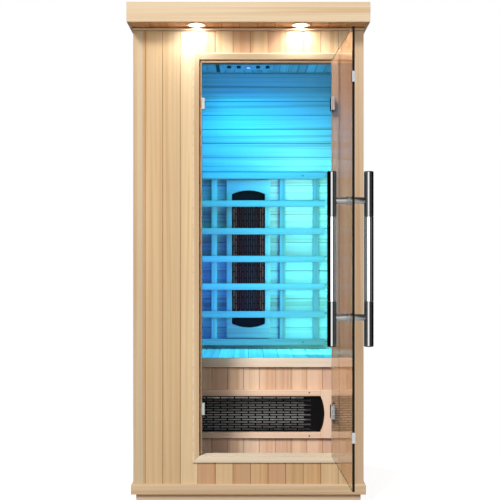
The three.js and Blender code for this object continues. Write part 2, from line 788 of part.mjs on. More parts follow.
function addBackrest() {
  const reach = sideInner - backrestSideMargin;
  const battenFace = backInner - gap - heaterFrameThickness - slatClearance;
  const slatSpan = [battenFace - slatThickness + slatLap, battenFace + slatLap];
  const slats = Array.from({ length: slatCount }, (_, number) => {
    const low = backrestBottom + number * slatPitch;
    return block(spread(reach), slatSpan, [low, low + slatHeight]);
  });
  const inner = heaterHeight / 2 + battenFromHeater + battenWidth / 2;
  const outer = reach - battenFromEnd - battenWidth / 2;
  const height = [backrestBottom, backrestBottom + railDistance + slatHeight];
  const battens = [-outer, -inner, inner, outer].map((x) => (
    block(about(x, battenWidth), [battenFace, backInner - gap], height)
  ));
  addPiece(cabin, 'backrest', 'hemlock', join(...battens, ...slats));
}

// The door's pieces are shaped with the door closed, then hung open about the hinge axis
const door = new THREE.Group();
door.position.set(hingeX, hingeY, 0);
door.rotation.z = THREE.MathUtils.degToRad(doorRestAngle);
cabin.add(door);

function addDoorPiece(name, finish, geometry) {
  addPiece(door, name, finish, geometry.translate(-hingeX, -hingeY, 0));
}

const handleX = glassLeft + handleFromEdge;
const glassMiddle = frontFace + glassThickness / 2;
const handlePosts = {
  upper: handleCentreHeight + handlePostSpacing / 2,
  lower: handleCentreHeight - handlePostSpacing / 2,
};

function addGlass() {
  const holes = Object.values(handlePosts).map((height) => circle(handleX, height, handleStemRadius + gap));
  const sheet = withHoles(rectangle([glassLeft, glassRight], [glassBottom, glassTop]), holes);
  addDoorPiece('door_glass', 'glass', extrudeY(sheet, [frontFace, glassBack]));
}

function addHinge(name, height) {
  const [low, high] = about(height, hingeHeight);
  const knuckle = (hingeHeight - 2 * gap) / 3;
  const zones = [[low, low + knuckle], [low + knuckle + gap, high - knuckle - gap], [high - knuckle, high]];
  const [lowerZone, middleZone, upperZone] = zones;
  const onAxis = (geometry) => geometry.translate(hingeX, hingeY, 0);
  const bore = onAxis(rod(pinRadius + gap, [low - gap, high + gap], hingeSides));

  const leafSide = [openingRight, openingRight + leafThickness];
  const plate = block(leafSide, [frontFace, frontFace + leafWidth], [low, high]);
  const arms = [lowerZone, upperZone].flatMap((zone) => [
    block(leafSide, [hingeY, frontFace + leafThickness], zone),
    onAxis(rod(knuckleRadius, zone, hingeSides)),
  ]);
  const pin = onAxis(turned([
    [0, low], [pinRadius, low], [pinRadius, high], [pinHeadRadius, high],
    [pinHeadRadius, high + pinHeadHeight], [0, high + pinHeadHeight],
  ], hingeSides));
  addPiece(cabin, `hinge_${name}_leaf`, 'chrome', join(plate, ...arms, pin));

  const outerPlate = [frontFace - gap - clampThickness, frontFace - gap];
  const innerPlate = [glassBack + gap, glassBack + gap + clampThickness];
  const webSpan = [glassRight + gap, glassRight + gap + clampWeb];
  const reach = [glassRight - clampReach, webSpan[1]];
  const channel = join(
    block(reach, outerPlate, [low, high]),
    block(reach, innerPlate, [low, high]),
    block(webSpan, [outerPlate[0], innerPlate[1]], [low, high]),
  );
  const clearance = [lowerZone, upperZone].map(([from, to]) => (
    onAxis(rod(knuckleRadius + 2 * gap, [from - gap, to + gap], hingeSides))
  ));
  const clamp = join(cut(channel, ...clearance), onAxis(rod(knuckleRadius, middleZone, hingeSides)));
  addDoorPiece(`hinge_${name}_clamp`, 'chrome', cut(clamp, bore));
}

function addCatch(name, height) {
  const plates = [frontFace - gap - clipThickness, glassBack + gap + clipThickness];
  const clip = cut(
    block([glassLeft - gap - clipThickness, glassLeft + clipReach], plates, about(height, clipHeight)),
    block([glassLeft - gap, glassLeft + clipReach + gap], [frontFace - gap, glassBack + gap],
      about(height, clipHeight + 2 * gap)),
  );
  addDoorPiece(`catch_${name}_clip`, 'steel', clip);

  const side = openingLeft + stopProjection + gap;
  const magnet = block([side, side + magnetWidth], [stopFace, stopFace + magnetDepth],
    about(height, magnetHeight));
  addPiece(cabin, `catch_${name}_magnet`, 'palePlastic', magnet);
}

function addHandle() {
  const end = handleLength / 2;
  const seam = handleMiddle / 2;
  const groove = handleRadius - handleSeamDepth;
  const bend = handleEndRound * (1 - Math.SQRT1_2); // middle of the rounding
  const upperHalf = [
    [handleRadius, seam - handleSeamWidth / 2], [groove, seam - handleSeamWidth / 2],
    [groove, seam + handleSeamWidth / 2], [handleRadius, seam + handleSeamWidth / 2],
    [handleRadius, end - handleEndRound], [handleRadius - bend, end - bend],
    [handleRadius - handleEndRound, end], [0, end],
  ];
  const lowerHalf = upperHalf.map(([radius, height]) => [radius, -height]).reverse();
  const tubes = { outer: -handleStandoff, inner: handleStandoff };
  Object.entries(tubes).forEach(([name, offset]) => {
    const tube = turned([...lowerHalf, ...upperHalf]);
    addDoorPiece(`handle_${name}_tube`, 'chrome',
      tube.translate(handleX, glassMiddle + offset, handleCentreHeight));
  });

  const face = glassThickness / 2 + gap;
  const collar = face + handleCollarThickness;
  const half = [
    [handleStemRadius, face], [handleCollarRadius, face], [handleCollarRadius, collar],
    [handlePostRadius, collar], [handlePostRadius, handleStandoff], [0, handleStandoff],
  ];
  const profile = [...half.map(([radius, along]) => [radius, -along]).reverse(), ...half];
  Object.entries(handlePosts).forEach(([name, height]) => {
    const post = turned(profile, postSides).rotateX(Math.PI / 2).translate(handleX, glassMiddle, height);
    const saddle = rod(handleRadius + gap, about(height, 2 * handleCollarRadius));
    const saddles = Object.values(tubes).map((offset) => (
      saddle.clone().translate(handleX, glassMiddle + offset, 0)
    ));
    addDoorPiece(`handle_${name}_post`, 'chrome', cut(post, ...saddles));
  });
}

addBase();
addSideWall('left', -1);
addSideWall('right', 1);
addBackWall();
addFrontWall();
addRoof();
addCeiling();
addBench();
addHeaters();
addBackrest();
addGlass();
Object.entries(hingeHeights).forEach(([name, height]) => addHinge(name, height));
Object.entries(catchHeights).forEach(([name, height]) => addCatch(name, height));
addHandle();

export default cabin;
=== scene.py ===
"""Infrared sauna cabin: timber, glass, metal and lamp finishes, small fittings, light and camera.

Metres, +Z up, front towards -Y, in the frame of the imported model."""

import json
import math
import random

import bmesh
import bpy
from mathutils import Matrix, Vector


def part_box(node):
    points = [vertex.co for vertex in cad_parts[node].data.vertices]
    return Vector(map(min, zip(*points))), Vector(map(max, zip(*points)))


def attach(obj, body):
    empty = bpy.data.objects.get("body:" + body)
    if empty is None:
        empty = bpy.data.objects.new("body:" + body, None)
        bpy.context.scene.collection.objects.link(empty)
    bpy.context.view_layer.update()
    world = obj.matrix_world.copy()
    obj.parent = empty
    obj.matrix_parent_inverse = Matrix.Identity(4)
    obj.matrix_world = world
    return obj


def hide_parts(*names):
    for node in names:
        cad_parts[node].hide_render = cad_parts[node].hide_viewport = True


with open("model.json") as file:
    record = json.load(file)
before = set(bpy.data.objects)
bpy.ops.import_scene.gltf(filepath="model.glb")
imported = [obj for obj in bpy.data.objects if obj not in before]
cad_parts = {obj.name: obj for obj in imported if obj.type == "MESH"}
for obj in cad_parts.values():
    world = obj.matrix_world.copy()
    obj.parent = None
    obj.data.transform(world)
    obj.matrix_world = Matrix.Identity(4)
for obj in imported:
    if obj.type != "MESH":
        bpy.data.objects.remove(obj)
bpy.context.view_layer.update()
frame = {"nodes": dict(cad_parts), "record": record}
scene = bpy.context.scene
BEHAVIOUR = frame["record"]["behaviour"]
BODY_OF = {node: body for body, nodes in BEHAVIOUR["bodies"].items() for node in nodes}
DOOR_JOINT = next(joint for joint in BEHAVIOUR["joints"] if joint["name"] == "door_swing")

# Camera, for a square picture
IMAGE_SIZE = 500
FOCAL_PIXELS = 895
CAMERA_DISTANCE = 3.40  # in front of the front wall
CAMERA_HEIGHT = 0.977
CAMERA_SHIFT = (0.0032, 0.004)

# Sizes that the finishes follow
FRONT_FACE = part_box("front_boards_left")[0].y
CEILING_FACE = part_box("ceiling_left")[0].z
JAMB_WIDTH = 0.0243
HEATER_END = {"foot_heater": 0.047, "back_heater": 0.065}  # width of a surround's end members

# Board runs: one joint's place and the pitch
BOARD_PITCH = 0.0667
FRONT_RUN = (0.008, BOARD_PITCH)
RISER_RUN = (0.046, BOARD_PITCH)
LINING_RUN = (CEILING_FACE - 0.0686, 0.0652)
CEILING_RUN = (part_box("ceiling_left")[1].x, 0.041)


def add_camera():
    sensor = 36
    data = bpy.data.cameras.new("camera")
    data.sensor_width = sensor
    data.lens = FOCAL_PIXELS * sensor / IMAGE_SIZE
    data.shift_x, data.shift_y = CAMERA_SHIFT
    data.clip_end = 100
    camera = bpy.data.objects.new("camera", data)
    camera.location = (0, FRONT_FACE - CAMERA_DISTANCE, CAMERA_HEIGHT)
    camera.rotation_euler = (math.pi / 2, 0, 0)
    scene.collection.objects.link(camera)
    scene.camera = camera


class Value:
    """A node's output socket that takes part in Python arithmetic."""

    def __init__(self, nodes, socket):
        self.nodes = nodes
        self.socket = socket

    def math(self, operation, *others, first=None):
        terms = (self, *others) if first is None else (first, self)
        return self.nodes.node("ShaderNodeMath", {"operation": operation}, dict(enumerate(terms)))

    def __add__(self, other):
        return self.math("ADD", other)

    def __sub__(self, other):
        return self.math("SUBTRACT", other)

    def __mul__(self, other):
        return self.math("MULTIPLY", other)

    def __truediv__(self, other):
        return self.math("DIVIDE", other)

    def __pow__(self, other):
        return self.math("POWER", other)

    def __radd__(self, other):
        return self.math("ADD", first=other)

    def __rsub__(self, other):
        return self.math("SUBTRACT", first=other)

    def __rmul__(self, other):
        return self.math("MULTIPLY", first=other)

    def __rtruediv__(self, other):
        return self.math("DIVIDE", first=other)


class Nodes:
    """A node tree, with one way to add to it."""

    def __init__(self, tree):
        self.tree = tree

    def feed(self, node, sockets):
        for key, value in sockets.items():
            if isinstance(value, Value):
                self.tree.links.new(value.socket, node.inputs[key])
            elif isinstance(value, list):
                for each in value:
                    self.tree.links.new(each.socket, node.inputs[key])
            else:
                node.inputs[key].default_value = value

    def node(self, kind, settings=None, sockets=None, output=0):
        made = self.tree.nodes.new(kind)
        for key, value in (settings or {}).items():
            setattr(made, key, value)
        self.feed(made, sockets or {})
        return Value(self, made.outputs[output])

    def other(self, value, output):
        """Another output of the node that a value comes from."""
        return Value(self, value.socket.node.outputs[output])

    def seen(self):
        """1 for rays that show the surroundings: to the eye, in metal and through glass."""
        camera = self.node("ShaderNodeLightPath", output="Is Camera Ray")
        glossy = self.other(camera, "Is Glossy Ray")
        through = self.other(camera, "Is Transmission Ray")
        bounced = self.other(camera, "Diffuse Depth").math("MINIMUM", 1.0)
        return camera.math("MAXIMUM", glossy).math("MAXIMUM", through) * (1 - bounced)


class Finish(Nodes):
    """A material and the nodes that make its surface."""

    def __init__(self, name, **surface):
        self.material = bpy.data.materials.new(name)
        self.material.use_nodes = True
        super().__init__(self.material.node_tree)
        self.surface = self.tree.nodes["Principled BSDF"]
        self.show(**surface)

    def place(self):
        return self.node("ShaderNodeTexCoord", output="Object")

    def split(self, vector):
        x = self.node("ShaderNodeSeparateXYZ", None, {0: vector})
        return x, self.other(x, 1), self.other(x, 2)

    def vector(self, x, y, z):
        return self.node("ShaderNodeCombineXYZ", None, {0: x, 1: y, 2: z})

    def noise(self, vector, scale=1.0, detail=2.0, roughness=0.5):
        return self.node("ShaderNodeTexNoise", None, {
            "Vector": vector, "Scale": scale, "Detail": detail, "Roughness": roughness,
        })

    def chance(self, number):
        return self.node("ShaderNodeTexWhiteNoise", {"noise_dimensions": "1D"}, {"W": number})

    def step(self, value, low, high):
        return self.node("ShaderNodeMapRange", {"interpolation_type": "SMOOTHSTEP"}, {
            "Value": value, "From Min": low, "From Max": high,
        })

    def blend(self, factor, first, second, mode="MIX"):
        settings = {"data_type": "RGBA", "blend_type": mode}
        return self.node("ShaderNodeMix", settings, {0: factor, 6: first, 7: second}, output=2)

    def scaled(self, colour, amount):
        return self.node("ShaderNodeVectorMath", {"operation": "SCALE"}, {0: colour, "Scale": amount})

    def bump(self, height, distance, strength):
        return self.node("ShaderNodeBump", None, {
            "Height": height, "Distance": distance, "Strength": strength,
        })

    def show(self, **sockets):
        self.feed(self.surface, {key.replace("_", " "): value for key, value in sockets.items()})
        return self.material


class Growth(Nodes):
    """A geometry tree with named sizes, whose result becomes a plain mesh."""

    KINDS = {int: "NodeSocketInt", float: "NodeSocketFloat", tuple: "NodeSocketVector"}

    def __init__(self, name, sizes):
        super().__init__(bpy.data.node_groups.new(name, "GeometryNodeTree"))
        interface = self.tree.interface
        interface.new_socket("Geometry", in_out="OUTPUT", socket_type="NodeSocketGeometry")
        interface.new_socket("Geometry", in_out="INPUT", socket_type="NodeSocketGeometry")
        self.keys = {}
        for key, kind in sizes.items():
            made = interface.new_socket(key, in_out="INPUT", socket_type=self.KINDS[kind])
            self.keys[key] = made.identifier
        self.given = self.node("NodeGroupInput")

    def size(self, name):
        return self.other(self.given, name)

    def finish(self, geometry, material):
        solid = self.node("GeometryNodeRealizeInstances", None, {"Geometry": geometry})
        coated = self.node("GeometryNodeSetMaterial", None, {"Geometry": solid, "Material": material})
        end = self.tree.nodes.new("NodeGroupOutput")
        self.feed(end, {0: coated})

    def mesh(self, sizes, start):
        holder = bpy.data.objects.new("holder", start)
        scene.collection.objects.link(holder)
        modifier = holder.modifiers.new("growth", "NODES")
        modifier.node_group = self.tree
        for key, value in sizes.items():
            modifier[self.keys[key]] = value
        evaluated = holder.evaluated_get(bpy.context.evaluated_depsgraph_get())
        grown = bpy.data.meshes.new_from_object(evaluated)
        holder.modifiers.remove(modifier)
        bpy.data.objects.remove(holder)
        return grown


def rgb(red, green, blue):
    return (red, green, blue, 1.0)


def dimmed(colour, amount):
    return rgb(*(amount * part for part in colour[:3]))


# Timber tones: pale, tan and pinkish
HEMLOCK = (rgb(0.77, 0.575, 0.345), rgb(0.65, 0.41, 0.21), rgb(0.64, 0.38, 0.215))
CREAM = (rgb(0.79, 0.635, 0.44), rgb(0.72, 0.545, 0.35), rgb(0.70, 0.51, 0.335))
POST = (rgb(0.70, 0.54, 0.355), rgb(0.64, 0.475, 0.30), rgb(0.64, 0.46, 0.30))
JAMB = (rgb(0.77, 0.585, 0.375), rgb(0.70, 0.505, 0.30), rgb(0.69, 0.48, 0.30))
# painted shade: a darker jamb tone for the doorway head, whose underside lies in shade
REVEAL_IN_SHADE = (rgb(0.60, 0.40, 0.27), rgb(0.54, 0.345, 0.22), rgb(0.52, 0.33, 0.215))
# painted light: a paler jamb tone for the sills, whose tops catch the light from above
SILL_IN_LIGHT = (rgb(0.94, 0.81, 0.63), rgb(0.90, 0.76, 0.57), rgb(0.89, 0.74, 0.56))
# painted shade: a deeper orange tone for the warm shade under the canopy
SOFFIT_IN_SHADE = (rgb(0.78, 0.45, 0.23), rgb(0.70, 0.375, 0.18), rgb(0.68, 0.36, 0.19))
RAIL = (rgb(0.74, 0.63, 0.51), rgb(0.70, 0.58, 0.46), rgb(0.69, 0.56, 0.45))
LINING = (rgb(0.66, 0.49, 0.36), rgb(0.58, 0.40, 0.275), rgb(0.56, 0.355, 0.255))
SURROUND = (rgb(0.76, 0.56, 0.42), rgb(0.70, 0.49, 0.355), rgb(0.68, 0.46, 0.345))
SLAT = (rgb(0.72, 0.55, 0.40), rgb(0.64, 0.46, 0.32), rgb(0.62, 0.42, 0.30))
RISER = (rgb(0.74, 0.54, 0.39), rgb(0.66, 0.45, 0.31), rgb(0.62, 0.40, 0.285))
BATTEN = (rgb(0.83, 0.62, 0.42), rgb(0.77, 0.55, 0.35), rgb(0.74, 0.51, 0.34))
ROUGH = (rgb(0.70, 0.50, 0.32), rgb(0.62, 0.43, 0.265), rgb(0.58, 0.39, 0.255))

# Shades that multiply a tone: the late wood of a ring, a streak and an open joint, whose dark is partly
# painted shade in the groove
LATE_SHADE = rgb(0.83, 0.70, 0.57)
STREAK_SHADE = rgb(0.84, 0.71, 0.58)
SEAM_DIRT_AND_SHADE = rgb(0.45, 0.30, 0.20)

RING_PITCH = 0.0034
GRAIN_LEAN = 1.6  # spread of the rings' lean into the depth
GRAIN_BEND = 0.016  # spread of their wander
GRAIN_SKEW = 0.012  # spread of their run-off along the length
SEAM_REACH = 0.0017
JOINT_REACH = 0.0009
CHANCES = 5
CHANCE_STRIDE = 17.3
BOARD_STRIDE = 3.7  # how far along the grain one board's pattern is from the next


def timber(name, along, tones, across=None, run=(0.0, 1.0), centre=(0, 0, 0), seed=1,
           polish=0.5, figure=1.0, ends=None, sheen=0.12, joint_dirt_and_shade=0.6):
    """Softwood cut on the quarter, with straight grain along the axis named by along.

    Where the piece is a run of boards, across is the axis they lie along, and run is one joint's
    place and the pitch. ends is an axis, a middle and a half length, past which a frame's end
    members have their grain along the across axis."""
    wood = Finish(name, Specular_IOR_Level=sheen)
    x, y, z = wood.split(wood.place())
    axis = {"X": x - centre[0], "Y": y - centre[1], "Z": z - centre[2]}
    side, depth = [letter for letter in "XYZ" if letter != along]
    if across == depth:
        side, depth = depth, side
    length, u, w = axis[along], axis[side], axis[depth]
    seam = None
    if ends:
        letter, middle_at, half = ends
        far = (axis[letter] + (centre["XYZ".index(letter)] - middle_at)).math("ABSOLUTE") - half
        past = far.math("GREATER_THAN", 0.0)
        length, u = length + (u - length) * past, u + (length - u) * past
        seam = 1 - wood.step(far.math("ABSOLUTE"), 0.0, JOINT_REACH)
        board = past * 3 + axis[letter].math("GREATER_THAN", 0.0) * past
    elif across:
        joint, pitch = run
        place = (axis[across] + (centre["XYZ".index(across)] - joint)) / pitch
        board = place.math("FLOOR")
        within = place - board
        u = (within - 0.5) * pitch
        rim = within.math("MINIMUM", 1 - within) * pitch
        seam = 1 - wood.step(rim, SEAM_REACH * 0.3, SEAM_REACH)
    if seam:
        chances = [wood.chance(board + (seed + CHANCE_STRIDE * number)) for number in range(CHANCES)]
    else:
        draw = random.Random(seed)
        board = draw.uniform(0, 9)
        chances = [draw.random() for _ in range(CHANCES)]
    skew, lean, tan, blush, pale = chances
    pink = wood.step(blush, 0.55, 1.0) if seam else blush * 0.4

    shifted = length + board * BOARD_STRIDE
    bend = wood.noise(wood.vector(u * 4, w * 4, shifted * 0.6), detail=1.0)
    leaning = u + w * ((lean - 0.5) * GRAIN_LEAN) + (bend - 0.5) * GRAIN_BEND
    grain = leaning + shifted * ((skew - 0.5) * GRAIN_SKEW)
    ring = (grain / RING_PITCH).math("FRACT")
    late = wood.step(ring, 0.25, 0.9) - wood.step(ring, 0.92, 1.0)
    streak = wood.noise(wood.vector(grain * 48, w * 26, shifted * 0.5), detail=3.0, roughness=0.6)
    drift = wood.noise(wood.vector(grain * 24, w * 12, shifted * 0.3), detail=2.0)
    fine = wood.noise(wood.vector(grain * 300, w * 200, shifted * 1.6), detail=2.0)
    cloud = wood.noise(wood.vector(u * 9, w * 9, shifted * 1.7), detail=2.0)
    fibre = wood.noise(wood.vector(u * 1100, w * 1100, shifted * 24), detail=1.0)

    darker = (drift - 0.5) * (1.3 * figure) + tan
    tone = wood.blend(darker.math("MAXIMUM", 0.0).math("MINIMUM", 1.0), tones[0], tones[1])
    tone = wood.blend(pink, tone, tones[2])
    tone = wood.blend(late * (0.26 * figure), tone, LATE_SHADE, "MULTIPLY")
    tone = wood.blend(wood.step(streak, 0.44, 0.70) * (0.80 * figure), tone, STREAK_SHADE, "MULTIPLY")
    light = 1.03 + (fine - 0.5) * (0.22 * figure) + (cloud - 0.5) * (0.14 * figure) + (fibre - 0.5) * 0.07
    tone = wood.scaled(tone, light + (pale - 0.5) * 0.12)
    # dark joints: partly painted shade in the grooves between boards
    if seam:
        tone = wood.blend(seam * joint_dirt_and_shade, tone, SEAM_DIRT_AND_SHADE, "MULTIPLY")
    roughness = polish + late * 0.08 + (fibre - 0.5) * 0.12
    relief = wood.bump(late * 0.5 + fibre * 0.5 + fine * 0.4, 0.0005, 0.35)
    return wood.show(Base_Color=tone, Roughness=roughness, Normal=relief)


def board_run(axis, node, pitch=BOARD_PITCH):
    """One edge and the true pitch of the equal boards that a node is made of."""
    at = "XYZ".index(axis)
    low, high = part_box(node)
    length = high[at] - low[at]
    return low[at], length / max(1, round(length / pitch))


def middle(node):
    low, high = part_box(node)
    return (low + high) / 2


def chrome(name, colour=0.60, low=0.06, high=0.17):
    metal = Finish(name, Metallic=1.0)
    smear = metal.noise(metal.place(), scale=38.0, detail=4.0, roughness=0.6)
    grime = metal.noise(metal.place(), scale=9.0, detail=2.0)
    worn = metal.step(smear, 0.42, 0.72)
    clean = rgb(colour, colour * 1.005, colour * 1.02)
    tint = metal.blend(grime * 0.5, clean, dimmed(clean, 0.82))
    return metal.show(Base_Color=tint, Roughness=low + worn * (high - low))


def powder_coat(name, colour, polish):
    paint = Finish(name, Specular_IOR_Level=0.1)
    grain = paint.noise(paint.place(), scale=1400.0, detail=2.0)
    patch = paint.noise(paint.place(), scale=14.0, detail=3.0)
    tint = paint.blend(paint.step(patch, 0.35, 0.75), colour, dimmed(colour, 1.6))
    return paint.show(Base_Color=tint, Roughness=polish + (patch - 0.5) * 0.12,
                      Normal=paint.bump(grain, 0.0002, 0.4))


def bright_sheet(name, colour):
    steel = Finish(name, Metallic=1.0)
    flake = steel.node("ShaderNodeTexVoronoi", None, {
        "Vector": steel.place(), "Scale": 130.0,
    }, output="Color")
    grey, _, _ = steel.split(flake)
    tint = steel.blend(grey, colour, dimmed(colour, 0.76))
    return steel.show(Base_Color=tint, Roughness=0.32 + grey * 0.16)


def fired_clay(name, colour, upper, middle_z, painted_glow_colour, glow):
    """A ceramic shell that goes from one colour to another half way up: on the foot element, painted light
    below and painted shade above. Any emission is a painted glow, not a lamp's light.
    """
    clay = Finish(name, Emission_Strength=glow)
    mottle = clay.noise(clay.place(), scale=70.0, detail=4.0)
    _, _, z = clay.split(clay.place())
    painted_light_and_shade = clay.blend(clay.step(z - middle_z, -0.012, 0.025), colour, upper)
    tint = clay.scaled(painted_light_and_shade, 1 - mottle * 0.4)
    painted_glow_tint = clay.blend(mottle, painted_glow_colour, dimmed(painted_glow_colour, 0.6))
    return clay.show(Base_Color=tint, Emission_Color=painted_glow_tint, Roughness=0.75 + (mottle - 0.5) * 0.2,
                     Normal=clay.bump(mottle, 0.0004, 0.5))


def moulded_plastic(name, colour):
    body = Finish(name)
    spark = body.noise(body.place(), scale=1800.0, detail=1.0)
    cloud = body.noise(body.place(), scale=25.0, detail=2.0)
    tint = body.blend(cloud, colour, dimmed(colour, 0.86))
    return body.show(Base_Color=tint, Roughness=0.42 + (spark - 0.5) * 0.15,
                     Normal=body.bump(spark, 0.00015, 0.4))


GREY_BELOW = (0.46, 0.64)  # heights between which the glass's painted reflection turns from grey to bronze


def clear_glass(name):
    """Clear seen square on. At a low angle it shows a painted reflection of wood: bronze, and greyer low
    down.
    """
    glass = Finish(name, Transmission_Weight=1.0, IOR=1.1)
    smear = glass.noise(glass.place(), scale=7.0, detail=5.0, roughness=0.65)
    slant = glass.step(glass.node("ShaderNodeLayerWeight", output="Facing"), 0.6, 0.87)
    clear = glass.blend(smear, rgb(0.87, 0.90, 0.88), rgb(0.90, 0.93, 0.91))
    _, _, height = glass.split(glass.place())
    # painted reflection: bronze where the glass is seen at a low angle, greyer low down
    painted_reflection = glass.blend(smear, rgb(1.0, 0.52, 0.42), rgb(1.0, 0.56, 0.46))
    reflection_tone = glass.blend(glass.step(height, *GREY_BELOW), rgb(0.70, 0.50, 0.47), painted_reflection)
    colour = glass.blend(slant, clear, reflection_tone)
    return glass.show(Base_Color=colour, Roughness=glass.step(smear, 0.6, 0.95) * 0.035)


def glass_edge(name, colour):
    edge = Finish(name, Specular_IOR_Level=0.06)
    wave = edge.noise(edge.place(), scale=90.0, detail=3.0)
    tint = edge.blend(wave, colour, dimmed(colour, 0.6))
    return edge.show(Base_Color=tint, Roughness=0.3 + wave * 0.12)


def lamp_lens(name, colour, strength, centre, radius, rim=0.72):
    """A frosted lens, brightest near its middle and dimmed to rim at its edge."""
    lens = Finish(name, Roughness=0.3, Emission_Strength=strength)
    x, y, _ = lens.split(lens.place())
    out = ((x - centre.x) ** 2 + (y - centre.y) ** 2) ** 0.5 / radius
    prism = (out * 34).math("SINE") * 0.5 + 0.5
    shade = lens.blend(lens.step(out, 0.55, 1.0), colour, dimmed(colour, rim))
    glow = lens.scaled(shade, 0.94 + prism * 0.06)
    return lens.show(Base_Color=shade, Emission_Color=glow)


def merged(node):
    """A clean copy of a node's mesh, its triangles joined into flat faces."""
    shape = bmesh.new()
    shape.from_mesh(frame["nodes"][node].data)
    bmesh.ops.remove_doubles(shape, verts=shape.verts, dist=1e-6)
    bmesh.ops.dissolve_limit(shape, angle_limit=math.radians(0.5), verts=shape.verts, edges=shape.edges)
    return shape


def mesh_of(shape, name):
    mesh = bpy.data.meshes.new(name)
    shape.to_mesh(mesh)
    shape.free()
    return mesh


def add_piece(mesh, name, materials, body, replaced=(), edge=0.0, segments=2, crease=35):
    for material in materials:
        if mesh.materials.find(material.name) < 0:
            mesh.materials.append(material)
    mesh.shade_smooth()
    mesh.set_sharp_from_angle(angle=math.radians(crease))
    piece = bpy.data.objects.new(name, mesh)
    scene.collection.objects.link(piece)
    if edge:
        bevel = piece.modifiers.new("softened edges", "BEVEL")
        bevel.width = edge
        bevel.segments = segments
        bevel.limit_method = "ANGLE"
        bevel.angle_limit = math.radians(crease)
        bevel.harden_normals = True
    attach(piece, body)
    if replaced:
        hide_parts(*replaced)
    return piece


def softened(node, slot, *materials, edge=0.001, segments=2, pick=None, crease=35):
    """The node with its edges eased. pick gives a face's material number."""
    shape = merged(node)
    if pick:
        for face in shape.faces:
            face.material_index = pick(face)
    name = f"{node}_finished"
    mesh = mesh_of(shape, name)
    return add_piece(mesh, name, materials, BODY_OF[node], [node], edge, segments, crease)


def painted(material, *nodes):
    for node in nodes:
        slots = frame["nodes"][node].data.materials
        slots.clear()
        slots.append(material)


def turned(profile, centre, segments):
    """A lathe body of (radius, height) points about Z through centre."""
    shape = bmesh.new()
    angles = [2 * math.pi * number / segments for number in range(segments)]
    around = [(math.cos(angle), math.sin(angle)) for angle in angles]
    rings = []
    for radius, height in profile:
        if radius == 0:
            rings.append([shape.verts.new((centre.x, centre.y, height))] * segments)
        else:
            rings.append([
                shape.verts.new((centre.x + radius * x, centre.y + radius * y, height))
                for x, y in around
            ])
    for low, high in zip(rings, rings[1:]):
        for number in range(segments):
            after = (number + 1) % segments
            corners = [low[number], low[after], high[after], high[number]]
            shape.faces.new(list(dict.fromkeys(corners)))
    bmesh.ops.recalc_face_normals(shape, faces=shape.faces)
    return shape


def bar_rows(material):
    """Geometry tree for a row of equal bars along X or Z, with rounded long edges."""
    rows = Growth("bar_rows", {
        "Count": int, "First bar": tuple, "Step": tuple, "Half length": tuple,
        "Width": float, "Height": float, "Rounding": float,
    })
    half = rows.size("Half length")
    back = rows.node("ShaderNodeVectorMath", {"operation": "SCALE"}, {0: half, "Scale": -1.0})
    path = rows.node("GeometryNodeCurvePrimitiveLine", None, {"Start": back, "End": half})
    section = rows.node("GeometryNodeCurvePrimitiveQuadrilateral", None, {
        "Width": rows.size("Width"), "Height": rows.size("Height"),
    })
    rounded = rows.node("GeometryNodeFilletCurve", {"mode": "POLY"}, {
        "Curve": section, "Count": 3, "Radius": rows.size("Rounding"), "Limit Radius": True,
    })
    bar = rows.node("GeometryNodeCurveToMesh", None, {
        "Curve": path, "Profile Curve": rounded, "Fill Caps": True,
    })
    spots = rows.node("GeometryNodeMeshLine", None, {
        "Count": rows.size("Count"), "Start Location": rows.size("First bar"), "Offset": rows.size("Step"),
    })
    placed = rows.node("GeometryNodeInstanceOnPoints", None, {"Points": spots, "Instance": bar})
    rows.finish(placed, material)
    return rows


HEAD_SIDES = 14
HEAD_TAPER = 0.80
SOCKET_WIDTH = 0.62
SOCKET_TAPER = 0.86


def screw_heads(material):
    """Geometry tree for socket screw heads on points, each turned to its own facing."""
    heads = Growth("screw_heads", {"Head radius": float, "Head height": float, "Socket depth": float})
    disc = heads.node("GeometryNodeMeshCircle", {"fill_type": "NGON"}, {
        "Vertices": HEAD_SIDES, "Radius": heads.size("Head radius"),
    })

    def raised(shape, selection, amount, spread):
        sockets = {"Mesh": shape, "Offset Scale": amount}
        if selection:
            sockets["Selection"] = selection
        grown = heads.node("GeometryNodeExtrudeMesh", {"mode": "FACES"}, sockets)
        top = heads.other(grown, "Top")
        return heads.node("GeometryNodeScaleElements", None, {
            "Geometry": grown, "Selection": top, "Scale": spread,
        }), top

    shape, top = raised(disc, None, heads.size("Head height"), HEAD_TAPER)
    shape, top = raised(shape, top, 0.0, SOCKET_WIDTH)
    shape, _ = raised(shape, top, heads.size("Socket depth") * -1, SOCKET_TAPER)
    underside = heads.node("GeometryNodeFlipFaces", None, {"Mesh": disc})
    whole = heads.node("GeometryNodeJoinGeometry", None, {"Geometry": [shape, underside]})
    head = heads.node("GeometryNodeMergeByDistance", None, {"Geometry": whole, "Distance": 1e-6})
    facing = heads.node("GeometryNodeInputNamedAttribute", {"data_type": "FLOAT_VECTOR"}, {"Name": "facing"})
    turn = heads.node("FunctionNodeAlignRotationToVector", {"axis": "Z"}, {"Vector": facing})
    placed = heads.node("GeometryNodeInstanceOnPoints", None, {
        "Points": heads.given, "Instance": head, "Rotation": turn,
    })
    heads.finish(placed, material)
    return heads


LINED = {"sheen": 0.03, "joint_dirt_and_shade": 0.95}  # dull boards with dark joints, partly painted shade in the grooves
